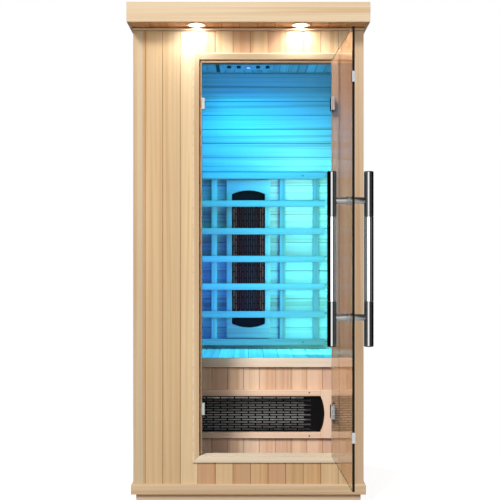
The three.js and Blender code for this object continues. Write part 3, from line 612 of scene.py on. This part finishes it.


def dress_walls():
    front = timber("front_boards", "Z", HEMLOCK, "X", FRONT_RUN, seed=3764)
    painted(front, "front_boards_left", "front_boards_right", "front_boards_head", "front_boards_sill")
    side = timber("side_boards", "Z", HEMLOCK, "Y", board_run("Y", "left_cladding"), seed=11)
    painted(side, "left_cladding", "right_cladding")
    back = timber("back_boards", "Z", HEMLOCK, "X", board_run("X", "back_cladding"), seed=23)
    painted(back, "back_cladding")
    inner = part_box("front_boards_right")[1].x
    posts = timber("corner_posts", "Z", POST, "X", (-inner, 2 * inner), seed=5)
    for node in ("left_wall_frame", "right_wall_frame"):
        softened(node, "hemlock", posts, edge=0.003)
    painted(timber("hidden_studs", "Z", ROUGH, polish=0.75, seed=8), "back_wall_frame")

    side_lining = timber("side_lining", "Y", LINING, "Z", LINING_RUN, seed=31, **LINED)
    painted(side_lining, "left_lining", "right_lining")
    end_lining = timber("end_lining", "X", LINING, "Z", LINING_RUN, seed=37, figure=1.6, **LINED)
    painted(end_lining, "back_lining", "front_lining")
    painted(timber("floor_boards", "Y", LINING, "X", board_run("X", "floor_deck"), seed=41), "floor_deck")
    ceiling = timber("ceiling_boards", "Y", LINING, "X", CEILING_RUN, seed=43, **LINED)
    painted(ceiling, "ceiling_left", "ceiling_strip", "ceiling_right")
    softened("vent_slide", "lining_hemlock", timber("vent_cover", "Y", LINING, seed=47), edge=0.0006)


JAMB_RUN = (-0.6, 0.6)  # its joint between the jambs makes them two boards
LEVEL_RUN = (0.0, 0.9)  # its joint between sill and head makes them two boards


def dress_doorway():
    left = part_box("front_boards_left")[1].x + JAMB_WIDTH
    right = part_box("front_boards_right")[0].x - JAMB_WIDTH
    upright = timber("jamb_upright", "Z", JAMB, "X", JAMB_RUN, seed=53)
    level = timber("jamb_level", "X", JAMB, "Z", LEVEL_RUN, seed=59)
    # the head takes the shaded tone and the sills the lit tone: painted shade and painted light
    head = timber("jamb_head", "X", REVEAL_IN_SHADE, "Z", LEVEL_RUN, seed=59)
    sill = timber("jamb_sill", "X", SILL_IN_LIGHT, "Z", LEVEL_RUN, seed=149)
    halfway = middle("door_architrave").z

    def member(face):
        at = face.calc_center_median()
        if not left < at.x < right:
            return 0
        return 1 if at.z > halfway else 2

    softened("door_architrave", "hemlock", upright, level, sill, edge=0.0006, pick=member)
    softened("front_frame", "hemlock", upright, head, sill, edge=0.001, pick=member)


ROOF_BOARD = 0.12
FRONT_SLACK = 0.002  # a skirting face further behind the front face than this is on a side


def dress_roof_and_base():
    for node, axis, seed in (("fascia_front", "X", 61), ("fascia_back", "X", 67),
                             ("fascia_left", "Y", 71), ("fascia_right", "Y", 73)):
        board = timber(f"{node}_board", axis, CREAM, centre=middle(node), seed=seed, figure=0.9)
        softened(node, "hemlock", board, edge=0.0015)
    # the soffit's deep orange tone is painted shade
    painted(timber("soffit_boards", "Y", SOFFIT_IN_SHADE, "X", board_run("X", "soffit"), seed=79), "soffit")
    deck_run = board_run("Y", "roof_deck", ROOF_BOARD)
    painted(timber("roof_boards", "X", ROUGH, "Y", deck_run, polish=0.75, seed=83), "roof_deck")
    base = timber("base_battens", "X", BATTEN, polish=0.72, seed=89)
    softened("base_frame", "rough_batten", base, edge=0.0015)
    along_front = timber("skirting_front", "X", CREAM, centre=middle("skirting"), seed=97)
    along_side = timber("skirting_side", "Y", CREAM, centre=middle("skirting"), seed=101)

    def on_side(face):
        return 0 if face.calc_center_median().y < FRONT_FACE + FRONT_SLACK else 1

    softened("skirting", "hemlock", along_front, along_side, edge=0.0007, pick=on_side)


COVE_WIDTH = 0.012
COVE_HEIGHT = 0.0085
COVE_DROP = 0.0035  # below the soffit
COVE_CLEAR = 0.0004  # in front of the boards
COVE_ROUND = 0.003


def add_cove(rows, cove):
    soffit_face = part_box("soffit")[0].z
    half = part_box("right_wall_frame")[1].x
    y = FRONT_FACE - COVE_CLEAR - COVE_WIDTH / 2
    z = soffit_face - COVE_DROP - COVE_HEIGHT / 2
    strip = rows.mesh({
        "Count": 1, "First bar": (0.0, y, z), "Step": (1.0, 0.0, 0.0), "Half length": (half, 0.0, 0.0),
        "Width": COVE_WIDTH, "Height": COVE_HEIGHT, "Rounding": COVE_ROUND,
    }, bpy.data.meshes.new("strip"))
    add_piece(strip, "soffit_cove", [cove], "cabin", edge=0.0005)


def dress_bench():
    painted(timber("bench_boards", "Y", CREAM, "X", board_run("X", "bench_top"), seed=103), "bench_top")
    rail = timber("bench_rail", "X", RAIL, centre=middle("bench_front_rail"), seed=107)
    softened("bench_front_rail", "hemlock", rail, edge=0.0025, segments=3)
    painted(timber("riser_boards", "Z", RISER, "X", RISER_RUN, seed=109), "bench_riser")


SLAT_COUNT = 7
SLAT_SIZE = (0.020, 0.029)
SLAT_ROUND = 0.0035
BATTEN_WIDTH = 0.026
BATTEN_PLACES = (0.157, 0.3101)
BATTEN_LAP = 0.002  # let into the slats
BATTEN_SHORT = 0.001  # short of the slats' top and bottom
BATTEN_ROUND = 0.002
BATTEN_RUN = (-0.5, 0.25)  # one batten in each step


def dress_backrest(rows):
    low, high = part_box("backrest")
    thickness, height = SLAT_SIZE
    pitch = (high.z - low.z - height) / (SLAT_COUNT - 1)
    half = (high.x - low.x) / 2
    middle_z = (low.z + high.z) / 2
    depth = high.y - low.y - thickness + BATTEN_LAP
    shape = bmesh.new()
    shape.from_mesh(rows.mesh({
        "Count": SLAT_COUNT, "First bar": (0.0, low.y + thickness / 2, low.z + height / 2),
        "Step": (0.0, 0.0, pitch), "Half length": (half, 0.0, 0.0),
        "Width": thickness, "Height": height, "Rounding": SLAT_ROUND,
    }, bpy.data.meshes.new("slats")))
    slat_faces = len(shape.faces)
    batten_half = (high.z - low.z) / 2 - BATTEN_SHORT
    for place in BATTEN_PLACES:
        shape.from_mesh(rows.mesh({
            "Count": 2, "First bar": (-place, high.y - depth / 2, middle_z),
            "Step": (2 * place, 0.0, 0.0), "Half length": (0.0, 0.0, batten_half),
            "Width": BATTEN_WIDTH, "Height": depth, "Rounding": BATTEN_ROUND,
        }, bpy.data.meshes.new("battens")))
    for number, face in enumerate(shape.faces):
        face.material_index = 0 if number < slat_faces else 1
    first = low.z - (pitch - height) / 2
    slats = timber("backrest_slats", "X", SLAT, "Z", (first, pitch), seed=113, sheen=0.03)
    battens = timber("backrest_battens", "Z", SLAT, "X", BATTEN_RUN, seed=139, sheen=0.03)
    name = "backrest_finished"
    mesh = mesh_of(shape, name)
    add_piece(mesh, name, [slats, battens], "cabin", ["backrest"], edge=0.001)


def dress_heaters():
    emitters = {
        # foot element: pale below its middle and dark above, painted light through the slots and painted
        # shade
        "foot_heater": fired_clay("foot_emitter", rgb(0.88, 0.86, 0.83), rgb(0.36, 0.34, 0.32),
                                  middle("foot_heater_element").z, rgb(0.5, 0.2, 0.1), 0.0),
        # back element: its faint emission is a painted glow, not a lamp
        "back_heater": fired_clay("back_emitter", rgb(0.10, 0.045, 0.03), rgb(0.09, 0.042, 0.03),
                                  middle("back_heater_element").z, rgb(0.45, 0.13, 0.06), 0.05),
    }
    trays = {
        "foot_heater": bright_sheet("foot_reflector", rgb(0.72, 0.72, 0.71)),
        "back_heater": bright_sheet("back_reflector", rgb(0.16, 0.13, 0.12)),
    }
    grille = powder_coat("grille_black", rgb(0.006, 0.006, 0.0065), 0.5)
    for name, along, across, tones in (("foot_heater", "X", "Z", SURROUND),
                                       ("back_heater", "Z", "X", LINING)):
        low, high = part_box(f"{name}_frame")
        at = "XYZ".index(along)
        half = (high[at] - low[at]) / 2 - HEATER_END[name]
        centre = middle(f"{name}_frame")
        board = timber(f"{name}_surround", along, tones, across, centre=centre, seed=127 + at,
                       ends=(along, centre[at], half))
        softened(f"{name}_frame", "lining_hemlock", board, edge=0.002, segments=3)
        painted(grille, f"{name}_grille")
        painted(trays[name], f"{name}_tray")
        painted(emitters[name], f"{name}_element")


HINGE = Vector(DOOR_JOINT["pos_m"])
DOOR_TURN = Matrix.Rotation(math.radians(-DOOR_JOINT["range_deg"][0]), 3, "Z")


def hung(point):
    """Where a point of the closed door is when the door hangs at rest."""
    return HINGE + DOOR_TURN @ (Vector(point) - HINGE)


HANDLE_SEAM = 0.140
SEAM_GAP = 0.0008
SEAM_EASE = 0.0003
SEAM_DEPTH = 0.0009
SEAM_LIP = 1.6 * SEAM_GAP
HANDLE_ROUND = 0.003
HANDLE_SIDES = 56
ROUND_STEPS = 6


def dress_handle(bright, black):
    for side in ("outer", "inner"):
        node = f"handle_{side}_tube"
        low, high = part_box(node)
        centre = (low + high) / 2
        radius = (high.x - low.x) / 2
        end = (high.z - low.z) / 2
        half = [
            (radius, HANDLE_SEAM - HANDLE_ROUND),
            (radius, HANDLE_SEAM - SEAM_LIP), (radius - SEAM_EASE, HANDLE_SEAM - SEAM_GAP),
            (radius - SEAM_DEPTH, HANDLE_SEAM - SEAM_GAP), (radius - SEAM_DEPTH, HANDLE_SEAM + SEAM_GAP),
            (radius - SEAM_EASE, HANDLE_SEAM + SEAM_GAP), (radius, HANDLE_SEAM + SEAM_LIP),
            (radius, HANDLE_SEAM + HANDLE_ROUND), (radius, end - 2 * HANDLE_ROUND),
        ]
        angles = [math.radians(90 * number / ROUND_STEPS) for number in range(ROUND_STEPS + 1)]
        half += [
            (radius - HANDLE_ROUND * (1 - math.cos(angle)), end - HANDLE_ROUND * (1 - math.sin(angle)))
            for angle in angles
        ]
        half.append((0, end))
        profile = [(out, centre.z - up) for out, up in reversed(half)]
        profile += [(out, centre.z + up) for out, up in half]
        shape = turned(profile, centre, HANDLE_SIDES)
        for face in shape.faces:
            beyond = abs(face.calc_center_median().z - centre.z) > HANDLE_SEAM - SEAM_GAP
            face.material_index = 1 if beyond else 0
        name = f"{node}_finished"
        add_piece(mesh_of(shape, name), name, [bright, black], "door", [node], crease=25)


def dress_door():
    facing, hinge_side = DOOR_TURN @ Vector((0, -1, 0)), DOOR_TURN @ Vector((1, 0, 0))

    def pane_part(face):
        if abs(face.normal.dot(facing)) > 0.5:
            return 0
        return 2 if face.normal.dot(hinge_side) > 0.5 else 1

    # painted light and shade on the pane's edges: the hinge edge pale, the other edges near black
    glass = softened("door_glass", "clear_glass", clear_glass("door_glass_clear"),
                     glass_edge("door_glass_edge", rgb(0.010, 0.018, 0.013)),
                     glass_edge("door_glass_hinge_edge", rgb(0.62, 0.63, 0.60)), edge=0.0006, pick=pane_part)
    glass.visible_shadow = False
    bright = chrome("door_chrome", colour=0.25, low=0.04, high=0.07)
    dress_handle(bright, chrome("handle_black", colour=0.072, low=0.04, high=0.07))
    magnet = moulded_plastic("catch_plastic", rgb(0.62, 0.62, 0.60))
    clip = chrome("catch_steel", colour=0.66, low=0.18, high=0.3)
    hinge = chrome("hinge_chrome", colour=0.62, low=0.24, high=0.34)
    satin = chrome("post_steel", colour=0.42, low=0.42, high=0.5)
    for name in ("upper", "lower"):
        softened(f"handle_{name}_post", "chrome", satin, edge=0.0005, crease=30)
        softened(f"hinge_{name}_clamp", "chrome", hinge, edge=0.0006)
        softened(f"hinge_{name}_leaf", "chrome", hinge, edge=0.0005)
        softened(f"catch_{name}_clip", "steel", clip, edge=0.0003)
        softened(f"catch_{name}_magnet", "pale_plastic", magnet, edge=0.001)


LAMP_RADIUS = 0.0192
LAMP_RISE = 0.005
LAMP_GLOW = 0.6
CELL_MARGINS = (0.004, 0.015)
DOWNLIGHT_GLOW = 8.0
SKIN = 0.0005  # a hair's depth, to tell a face at a level from one beyond it


def dress_lamps():
    ring = chrome("downlight_chrome", colour=0.72)
    for name in ("left", "right"):
        softened(f"downlight_{name}_bezel", "chrome", ring, edge=0.0008, segments=3)
        node = f"downlight_{name}_lens"
        low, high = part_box(node)
        radius = (high.x - low.x) / 2
        warm = rgb(1.0, 0.95, 0.86)
        lens = lamp_lens(f"downlight_{name}_glow", warm, DOWNLIGHT_GLOW, middle(node), radius)
        softened(node, "lamp_lens", lens, edge=0.001)

    low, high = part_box("ceiling_light")
    centre = middle("ceiling_light")
    plate_face = low.z + LAMP_RISE
    plate = moulded_plastic("ceiling_light_plate", rgb(0.58, 0.45, 0.33))
    cell = moulded_plastic("ceiling_light_cell", rgb(0.012, 0.012, 0.014))
    cool = rgb(0.90, 0.97, 1.0)
    lamp = lamp_lens("ceiling_light_lamp", cool, LAMP_GLOW, centre, LAMP_RADIUS * 0.6, rim=0.12)
    cells = ((high.x - low.x) / 2 - CELL_MARGINS[0], (high.y - low.y) / 2 - CELL_MARGINS[1])

    def kind(face):
        at = face.calc_center_median()
        reach = max((corner.co.xy - centre.xy).length for corner in face.verts)
        if reach < LAMP_RADIUS and at.z < plate_face + SKIN:
            return 2
        inside = abs(at.x - centre.x) < cells[0] and abs(at.y - centre.y) < cells[1]
        return 1 if inside and plate_face + SKIN < at.z < high.z - SKIN else 0

    softened("ceiling_light", "pale_plastic", plate, cell, lamp, edge=0.0005, pick=kind)
    painted(moulded_plastic("control_box_black", rgb(0.02, 0.02, 0.022)), "control_box")


def screw_points(spots):
    mesh = bpy.data.meshes.new("screw_points")
    mesh.from_pydata([place for place, _ in spots], [], [])
    facing = mesh.attributes.new("facing", "FLOAT_VECTOR", "POINT")
    for number, (_, way) in enumerate(spots):
        facing.data[number].vector = way
    return mesh


BACKREST_SCREW = 0.249
SURROUND_SCREW = 0.255
ROOF_INSET = 0.02
ROOF_COLUMNS = 7
ROOF_LINES = 4
LEAF_DEPTH = 0.018
LEAF_RISE = 0.014
CLAMP_REACH = 0.025  # from the hinge pin
CLAMP_RISE = 0.013
CLAMP_FACES = (-0.0053, 0.0133)  # a closed clamp's front and back, from the front face
SCREW_HEAD = {"Head radius": 0.0031, "Head height": 0.0009, "Socket depth": 0.0007}


def screw_spots():
    """Places and facings of the screws on the cabin and on the door."""
    front, up, left = Vector((0, -1, 0)), Vector((0, 0, 1)), Vector((-1, 0, 0))
    cabin, door = [], []
    low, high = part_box("backrest")
    half_slat = SLAT_SIZE[1] / 2
    cabin += [((side * BACKREST_SCREW, low.y, z), front)
              for side in (-1, 1) for z in (low.z + half_slat, high.z - half_slat)]
    low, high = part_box("foot_heater_frame")
    grille_low, grille_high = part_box("foot_heater_grille")
    rail = (high.z - low.z - (grille_high.z - grille_low.z)) / 4
    cabin += [((side * SURROUND_SCREW, low.y, z), front)
              for side in (-1, 1) for z in (low.z + rail, high.z - rail)]
    low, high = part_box("roof_deck")
    cabin += [((low.x + ROOF_INSET + (high.x - low.x - 2 * ROOF_INSET) * column / (ROOF_COLUMNS - 1),
                low.y + ROOF_INSET + (high.y - low.y - 2 * ROOF_INSET) * line / (ROOF_LINES - 1), high.z), up)
              for column in range(ROOF_COLUMNS) for line in range(ROOF_LINES)]
    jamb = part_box("front_boards_right")[0].x - JAMB_WIDTH
    for name in ("upper", "lower"):
        z = middle(f"hinge_{name}_leaf").z
        cabin += [((jamb, FRONT_FACE + LEAF_DEPTH, z + rise), left) for rise in (-LEAF_RISE, LEAF_RISE)]
        for face, way in zip(CLAMP_FACES, (front, -front)):
            door += [(hung((HINGE.x - CLAMP_REACH, FRONT_FACE + face, z + rise)), DOOR_TURN @ way)
                     for rise in (-CLAMP_RISE, CLAMP_RISE)]
    return cabin, door


def add_screws():
    cabin, door = screw_spots()
    dark = chrome("screw_black", colour=0.06, low=0.25, high=0.4)
    heads = screw_heads(dark)
    add_piece(heads.mesh(SCREW_HEAD, screw_points(cabin)), "cabin_screws", [dark], "cabin")
    add_piece(heads.mesh(SCREW_HEAD, screw_points(door)), "door_screws", [dark], "door")


ROOM = (
    "back_lining", "backrest_finished", "back_heater_frame_finished", "back_heater_grille",
    "back_heater_tray", "back_heater_element", "ceiling_left", "ceiling_strip", "ceiling_right",
    "ceiling_light_finished", "vent_slide_finished", "bench_top",
)
WASHED = (*ROOM, "left_lining", "right_lining", "front_lining", "floor_deck")
FOOT_SPACE = (
    "bench_riser", "foot_heater_frame_finished", "bench_front_rail_finished", "front_frame_finished",
)
SATIN = tuple(f"{part}_finished" for part in (
    "handle_upper_post", "handle_lower_post", "hinge_upper_clamp", "hinge_upper_leaf",
    "hinge_lower_clamp", "hinge_lower_leaf",
))
POLISHED = ("handle_outer_tube_finished", "handle_inner_tube_finished")


def piece_of(name):
    return frame["nodes"].get(name) or bpy.data.objects[name]


def hide_room_from_mirrors():
    """The glass and the metal mirror the white studio, not the coloured room."""
    for name in ROOM:
        piece_of(name).visible_glossy = False


def lit_group(name, pieces, state="INCLUDE"):
    """Pieces that a lamp is turned on, or with EXCLUDE kept off, for."""
    group = bpy.data.collections.new(name)
    for piece in pieces:
        group.objects.link(piece_of(piece))
    for member in group.collection_objects:
        member.light_linking.link_state = state
    return group


def add_light(name, place, target, power, colour=(1, 1, 1), group=None, mirrored=False, **settings):
    """An area lamp that lights surfaces, or one that is only mirrored in them."""
    data = bpy.data.lights.new(name, "AREA")
    data.energy = power
    data.color = colour
    for key, value in settings.items():
        setattr(data, key, value)
    lamp = bpy.data.objects.new(name, data)
    lamp.location = place
    lamp.rotation_euler = (Vector(target) - Vector(place)).to_track_quat("-Z", "Y").to_euler()
    lamp.visible_camera = False
    lamp.visible_transmission = False
    lamp.visible_glossy = mirrored
    lamp.visible_diffuse = not mirrored
    lamp.light_linking.receiver_collection = group
    scene.collection.objects.link(lamp)


def panel(name, place, target, power, size, **settings):
    width, height = size
    add_light(name, place, target, power, shape="RECTANGLE", size=width, size_y=height, **settings)


OUTSIDE_AIM = (0, -0.4, 1.0)
MIRRORED_PLACE = (-0.4, -4.1, 1.2)
MIRRORED_AIM = (0, -0.4, 1.2)


def light_outside(outside):
    """White light on the outside, the door and the foot space."""
    doorway = ("front_frame_finished", "door_architrave_finished")
    right = lit_group("right_light", (*WASHED, *doorway), "EXCLUDE")
    metal = lit_group("metal_light", POLISHED)
    foot = lit_group("foot_light", FOOT_SPACE)
    posts = lit_group("post_light", SATIN)
    sill = lit_group("sill_light", ["front_frame_finished"])
    panel("studio_left", (-3.13, -7.2, 5.9), OUTSIDE_AIM, power=565, size=(2.0, 2.0), group=outside)
    panel("studio_right", (2.6, -3.4, 2.6), OUTSIDE_AIM, power=28, size=(1.4, 1.4), group=right)
    panel("studio_front", (-0.5, -4.6, 1.7), (0, -0.2, 0.4), power=58, size=(2.6, 1.2), group=outside)
    for side in (-1, 1):
        panel("studio_back", (side * 3.0, 2.6, 3.0), (0, 0, 1.0), power=115, size=(1.4, 1.4), group=outside)
    panel("metal_glow", MIRRORED_PLACE, MIRRORED_AIM, power=190, size=(2.3, 2.4), group=metal, mirrored=True)
    panel("metal_side", (1.69, -2.15, 1.2), (0.3, -0.85, 1.2), power=6, size=(1.9, 2.4),
          group=metal, mirrored=True)
    panel("foot_glow", (-3.13, -7.2, 5.4), (0, -0.4, 0.5), power=450, size=(3.0, 3.0), group=foot)
    panel("post_glow", MIRRORED_PLACE, MIRRORED_AIM, power=26, size=(2.7, 2.4), group=posts, mirrored=True)
    panel("sill_glow", (-0.6, -1.4, 1.9), (0.05, -0.38, 0.2), power=24, size=(0.6, 0.4),
          colour=(1.0, 0.92, 0.84), group=sill)


def light_room():
    """Coloured light in the room and the vent, and warm light up to the soffit."""
    inside = lit_group("room_light", (*WASHED, "roof_deck"))
    lining = lit_group("lining_light", [piece for piece in WASHED if piece != "backrest_finished"])
    slats = lit_group("slat_light", ["backrest_finished"])
    wall = lit_group("wall_light", ["back_lining"])
    soffit = lit_group("soffit_light", ["soffit"])
    bench = lit_group("bench_light", ["bench_top"])
    panel("colour_wash", (0.27, 0.10, 0.96), (0.27, 0.35, 0.96), power=5.8, size=(0.16, 0.84),
          colour=(0.07, 0.66, 1.0), group=lining)
    panel("slat_wash", (0.22, -0.10, 0.92), (0.12, 0.30, 0.84), power=4.6, size=(0.40, 0.76),
          colour=(0.05, 0.62, 1.0), group=slats)
    panel("lamp_wash", (0.05, 0.05, 1.70), (0.08, 0.12, 0.5), power=8, size=(0.50, 0.30),
          colour=(0.005, 0.38, 1.0), group=inside)
    panel("top_wash", (0.02, 0.02, 1.45), (0.02, 0.33, 1.68), power=4.2, size=(0.45, 0.2),
          colour=(0.001, 0.20, 1.0), group=inside)
    panel("blue_wash", (-0.1, -0.05, 0.80), (0.0, 0.35, 0.70), power=3.0, size=(0.5, 0.4),
          colour=(0.0, 0.10, 1.0), group=inside)
    panel("vent_glow", (-0.134, 0.16, 1.862), (-0.134, 0.36, 1.84), power=0.12, size=(0.05, 0.03),
          colour=(0.003, 0.30, 1.0))
    panel("pale_wash", (0.2, 0.16, 1.22), (0.2, 0.35, 1.26), power=0.22, size=(0.2, 0.3),
          colour=(0.5, 0.95, 1.0), group=wall)
    panel("soffit_wash", (0, -1.1, 0.6), (0, -0.45, 1.83), power=3.8, size=(1.0, 0.4),
          colour=(1.0, 0.9, 0.8), group=soffit)
    panel("bench_wash", (0.08, 0.10, 1.0), (0.08, 0.12, 0.5), power=6, size=(0.50, 0.20),
          colour=(0.03, 0.5, 1.0), group=bench)


DOWNLIGHT_DROP = 0.004  # below the bezel


def light_downlights(outside):
    for name in ("left", "right"):
        lens = middle(f"downlight_{name}_lens")
        below = Vector((lens.x, lens.y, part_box(f"downlight_{name}_bezel")[0].z - DOWNLIGHT_DROP))
        add_light(f"downlight_{name}", below, below - Vector((0, 0, 1)), power=0.72,
                  colour=(0.74, 0.87, 1.0), group=outside, shape="DISK", size=0.07)


def light_cabin():
    hide_room_from_mirrors()
    outside = lit_group("outside_light", (*WASHED, "front_frame_finished"), "EXCLUDE")
    light_outside(outside)
    light_room()
    light_downlights(outside)


def stage_piece(shape, name, material):
    mesh = mesh_of(shape, name)
    mesh.materials.append(material)
    made = bpy.data.objects.new(name, mesh)
    scene.collection.objects.link(made)
    return made


FLAG_CENTRE = (0.3, -0.85)
FLAG_RADIUS = 2.6
FLAG_TOP = 3.0
FLAG_STEPS = 12
FLAG_SWEEPS = (("flag_left", -140, -40), ("flag_right", 21, 140))  # degrees from the front


def add_flags():
    """Dark cloth screens at both sides and overhead, which show only in mirrors."""
    flags = []
    cloth = Finish("flag_cloth", Roughness=0.9)
    weave = cloth.noise(cloth.place(), scale=60.0, detail=2.0)
    cloth.show(Base_Color=cloth.blend(weave, rgb(0.012, 0.012, 0.014), rgb(0.022, 0.022, 0.024)))
    middle_x, middle_y = FLAG_CENTRE
    for name, start, end in FLAG_SWEEPS:
        shape = bmesh.new()
        columns = []
        for number in range(FLAG_STEPS + 1):
            angle = math.radians(start + (end - start) * number / FLAG_STEPS)
            x = middle_x + FLAG_RADIUS * math.sin(angle)
            y = middle_y - FLAG_RADIUS * math.cos(angle)
            columns.append([shape.verts.new((x, y, z)) for z in (0.0, FLAG_TOP)])
        for (a, b), (c, d) in zip(columns, columns[1:]):
            shape.faces.new((a, c, d, b))
        flags.append(stage_piece(shape, name, cloth.material))
    shape = bmesh.new()
    bmesh.ops.create_circle(shape, cap_ends=True, radius=FLAG_RADIUS, segments=2 * FLAG_STEPS,
                            matrix=Matrix.Translation((middle_x, middle_y, FLAG_TOP)))
    flags.append(stage_piece(shape, "flag_top", cloth.material))
    for flag in flags:
        for ray in ("camera", "diffuse", "transmission", "volume_scatter", "shadow"):
            setattr(flag, f"visible_{ray}", False)


FLOOR_REACH = 14
FLOOR_DROP = 0.0005
SHADOW_FADE = (0.7, 1.5)  # distances between which the floor's shadows fade into white
NEAR_GLOW = 0.80
SKY_LIGHT = 0.03


def add_floor():
    shape = bmesh.new()
    corners = [(-1, -1), (1, -1), (1, 1), (-1, 1)]
    shape.faces.new([shape.verts.new((x * FLOOR_REACH, y * FLOOR_REACH, -FLOOR_DROP)) for x, y in corners])
    pale = Finish("pale_floor", Roughness=0.9)
    x, y, _ = pale.split(pale.place())
    cloud = pale.noise(pale.place(), scale=3.0, detail=3.0)
    pale.show(Base_Color=pale.blend(cloud, rgb(0.07, 0.07, 0.07), rgb(0.09, 0.09, 0.09)))
    faint = pale.node("ShaderNodeBsdfDiffuse", None, {"Color": rgb(0.34, 0.34, 0.34)})
    glow = pale.node("ShaderNodeEmission", None, {"Color": rgb(1, 1, 1), "Strength": NEAR_GLOW})
    near = pale.node("ShaderNodeAddShader", None, {0: faint, 1: glow})
    far = pale.node("ShaderNodeEmission", None, {"Color": rgb(1, 1, 1), "Strength": 1.0})
    away = pale.step((x ** 2 + y ** 2) ** 0.5, *SHADOW_FADE)
    shown = pale.node("ShaderNodeMixShader", None, {0: away, 1: near, 2: far})
    plain = Value(pale, pale.surface.outputs[0])
    mixed = pale.node("ShaderNodeMixShader", None, {0: pale.seen(), 1: plain, 2: shown})
    pale.feed(pale.tree.nodes["Material Output"], {"Surface": mixed})
    stage_piece(shape, "studio_floor", pale.material)


def add_sky():
    world = bpy.data.worlds.new("studio_sky")
    world.use_nodes = True
    scene.world = world
    sky = Nodes(world.node_tree)
    soft = sky.node("ShaderNodeBackground", None, {"Color": rgb(1.0, 0.985, 0.96), "Strength": SKY_LIGHT})
    white = sky.node("ShaderNodeBackground", None, {"Color": rgb(1, 1, 1), "Strength": 1.0})
    mixed = sky.node("ShaderNodeMixShader", None, {0: sky.seen(), 1: soft, 2: white})
    sky.feed(sky.tree.nodes["World Output"], {"Surface": mixed})


add_camera()
cove = timber("cove_strip", "X", CREAM, seed=131)
rows = bar_rows(cove)
dress_walls()
dress_doorway()
dress_roof_and_base()
add_cove(rows, cove)
dress_bench()
dress_backrest(rows)
dress_heaters()
dress_door()
dress_lamps()
add_screws()
light_cabin()
add_flags()
add_floor()
add_sky()
scene.view_settings.view_transform = "Standard"
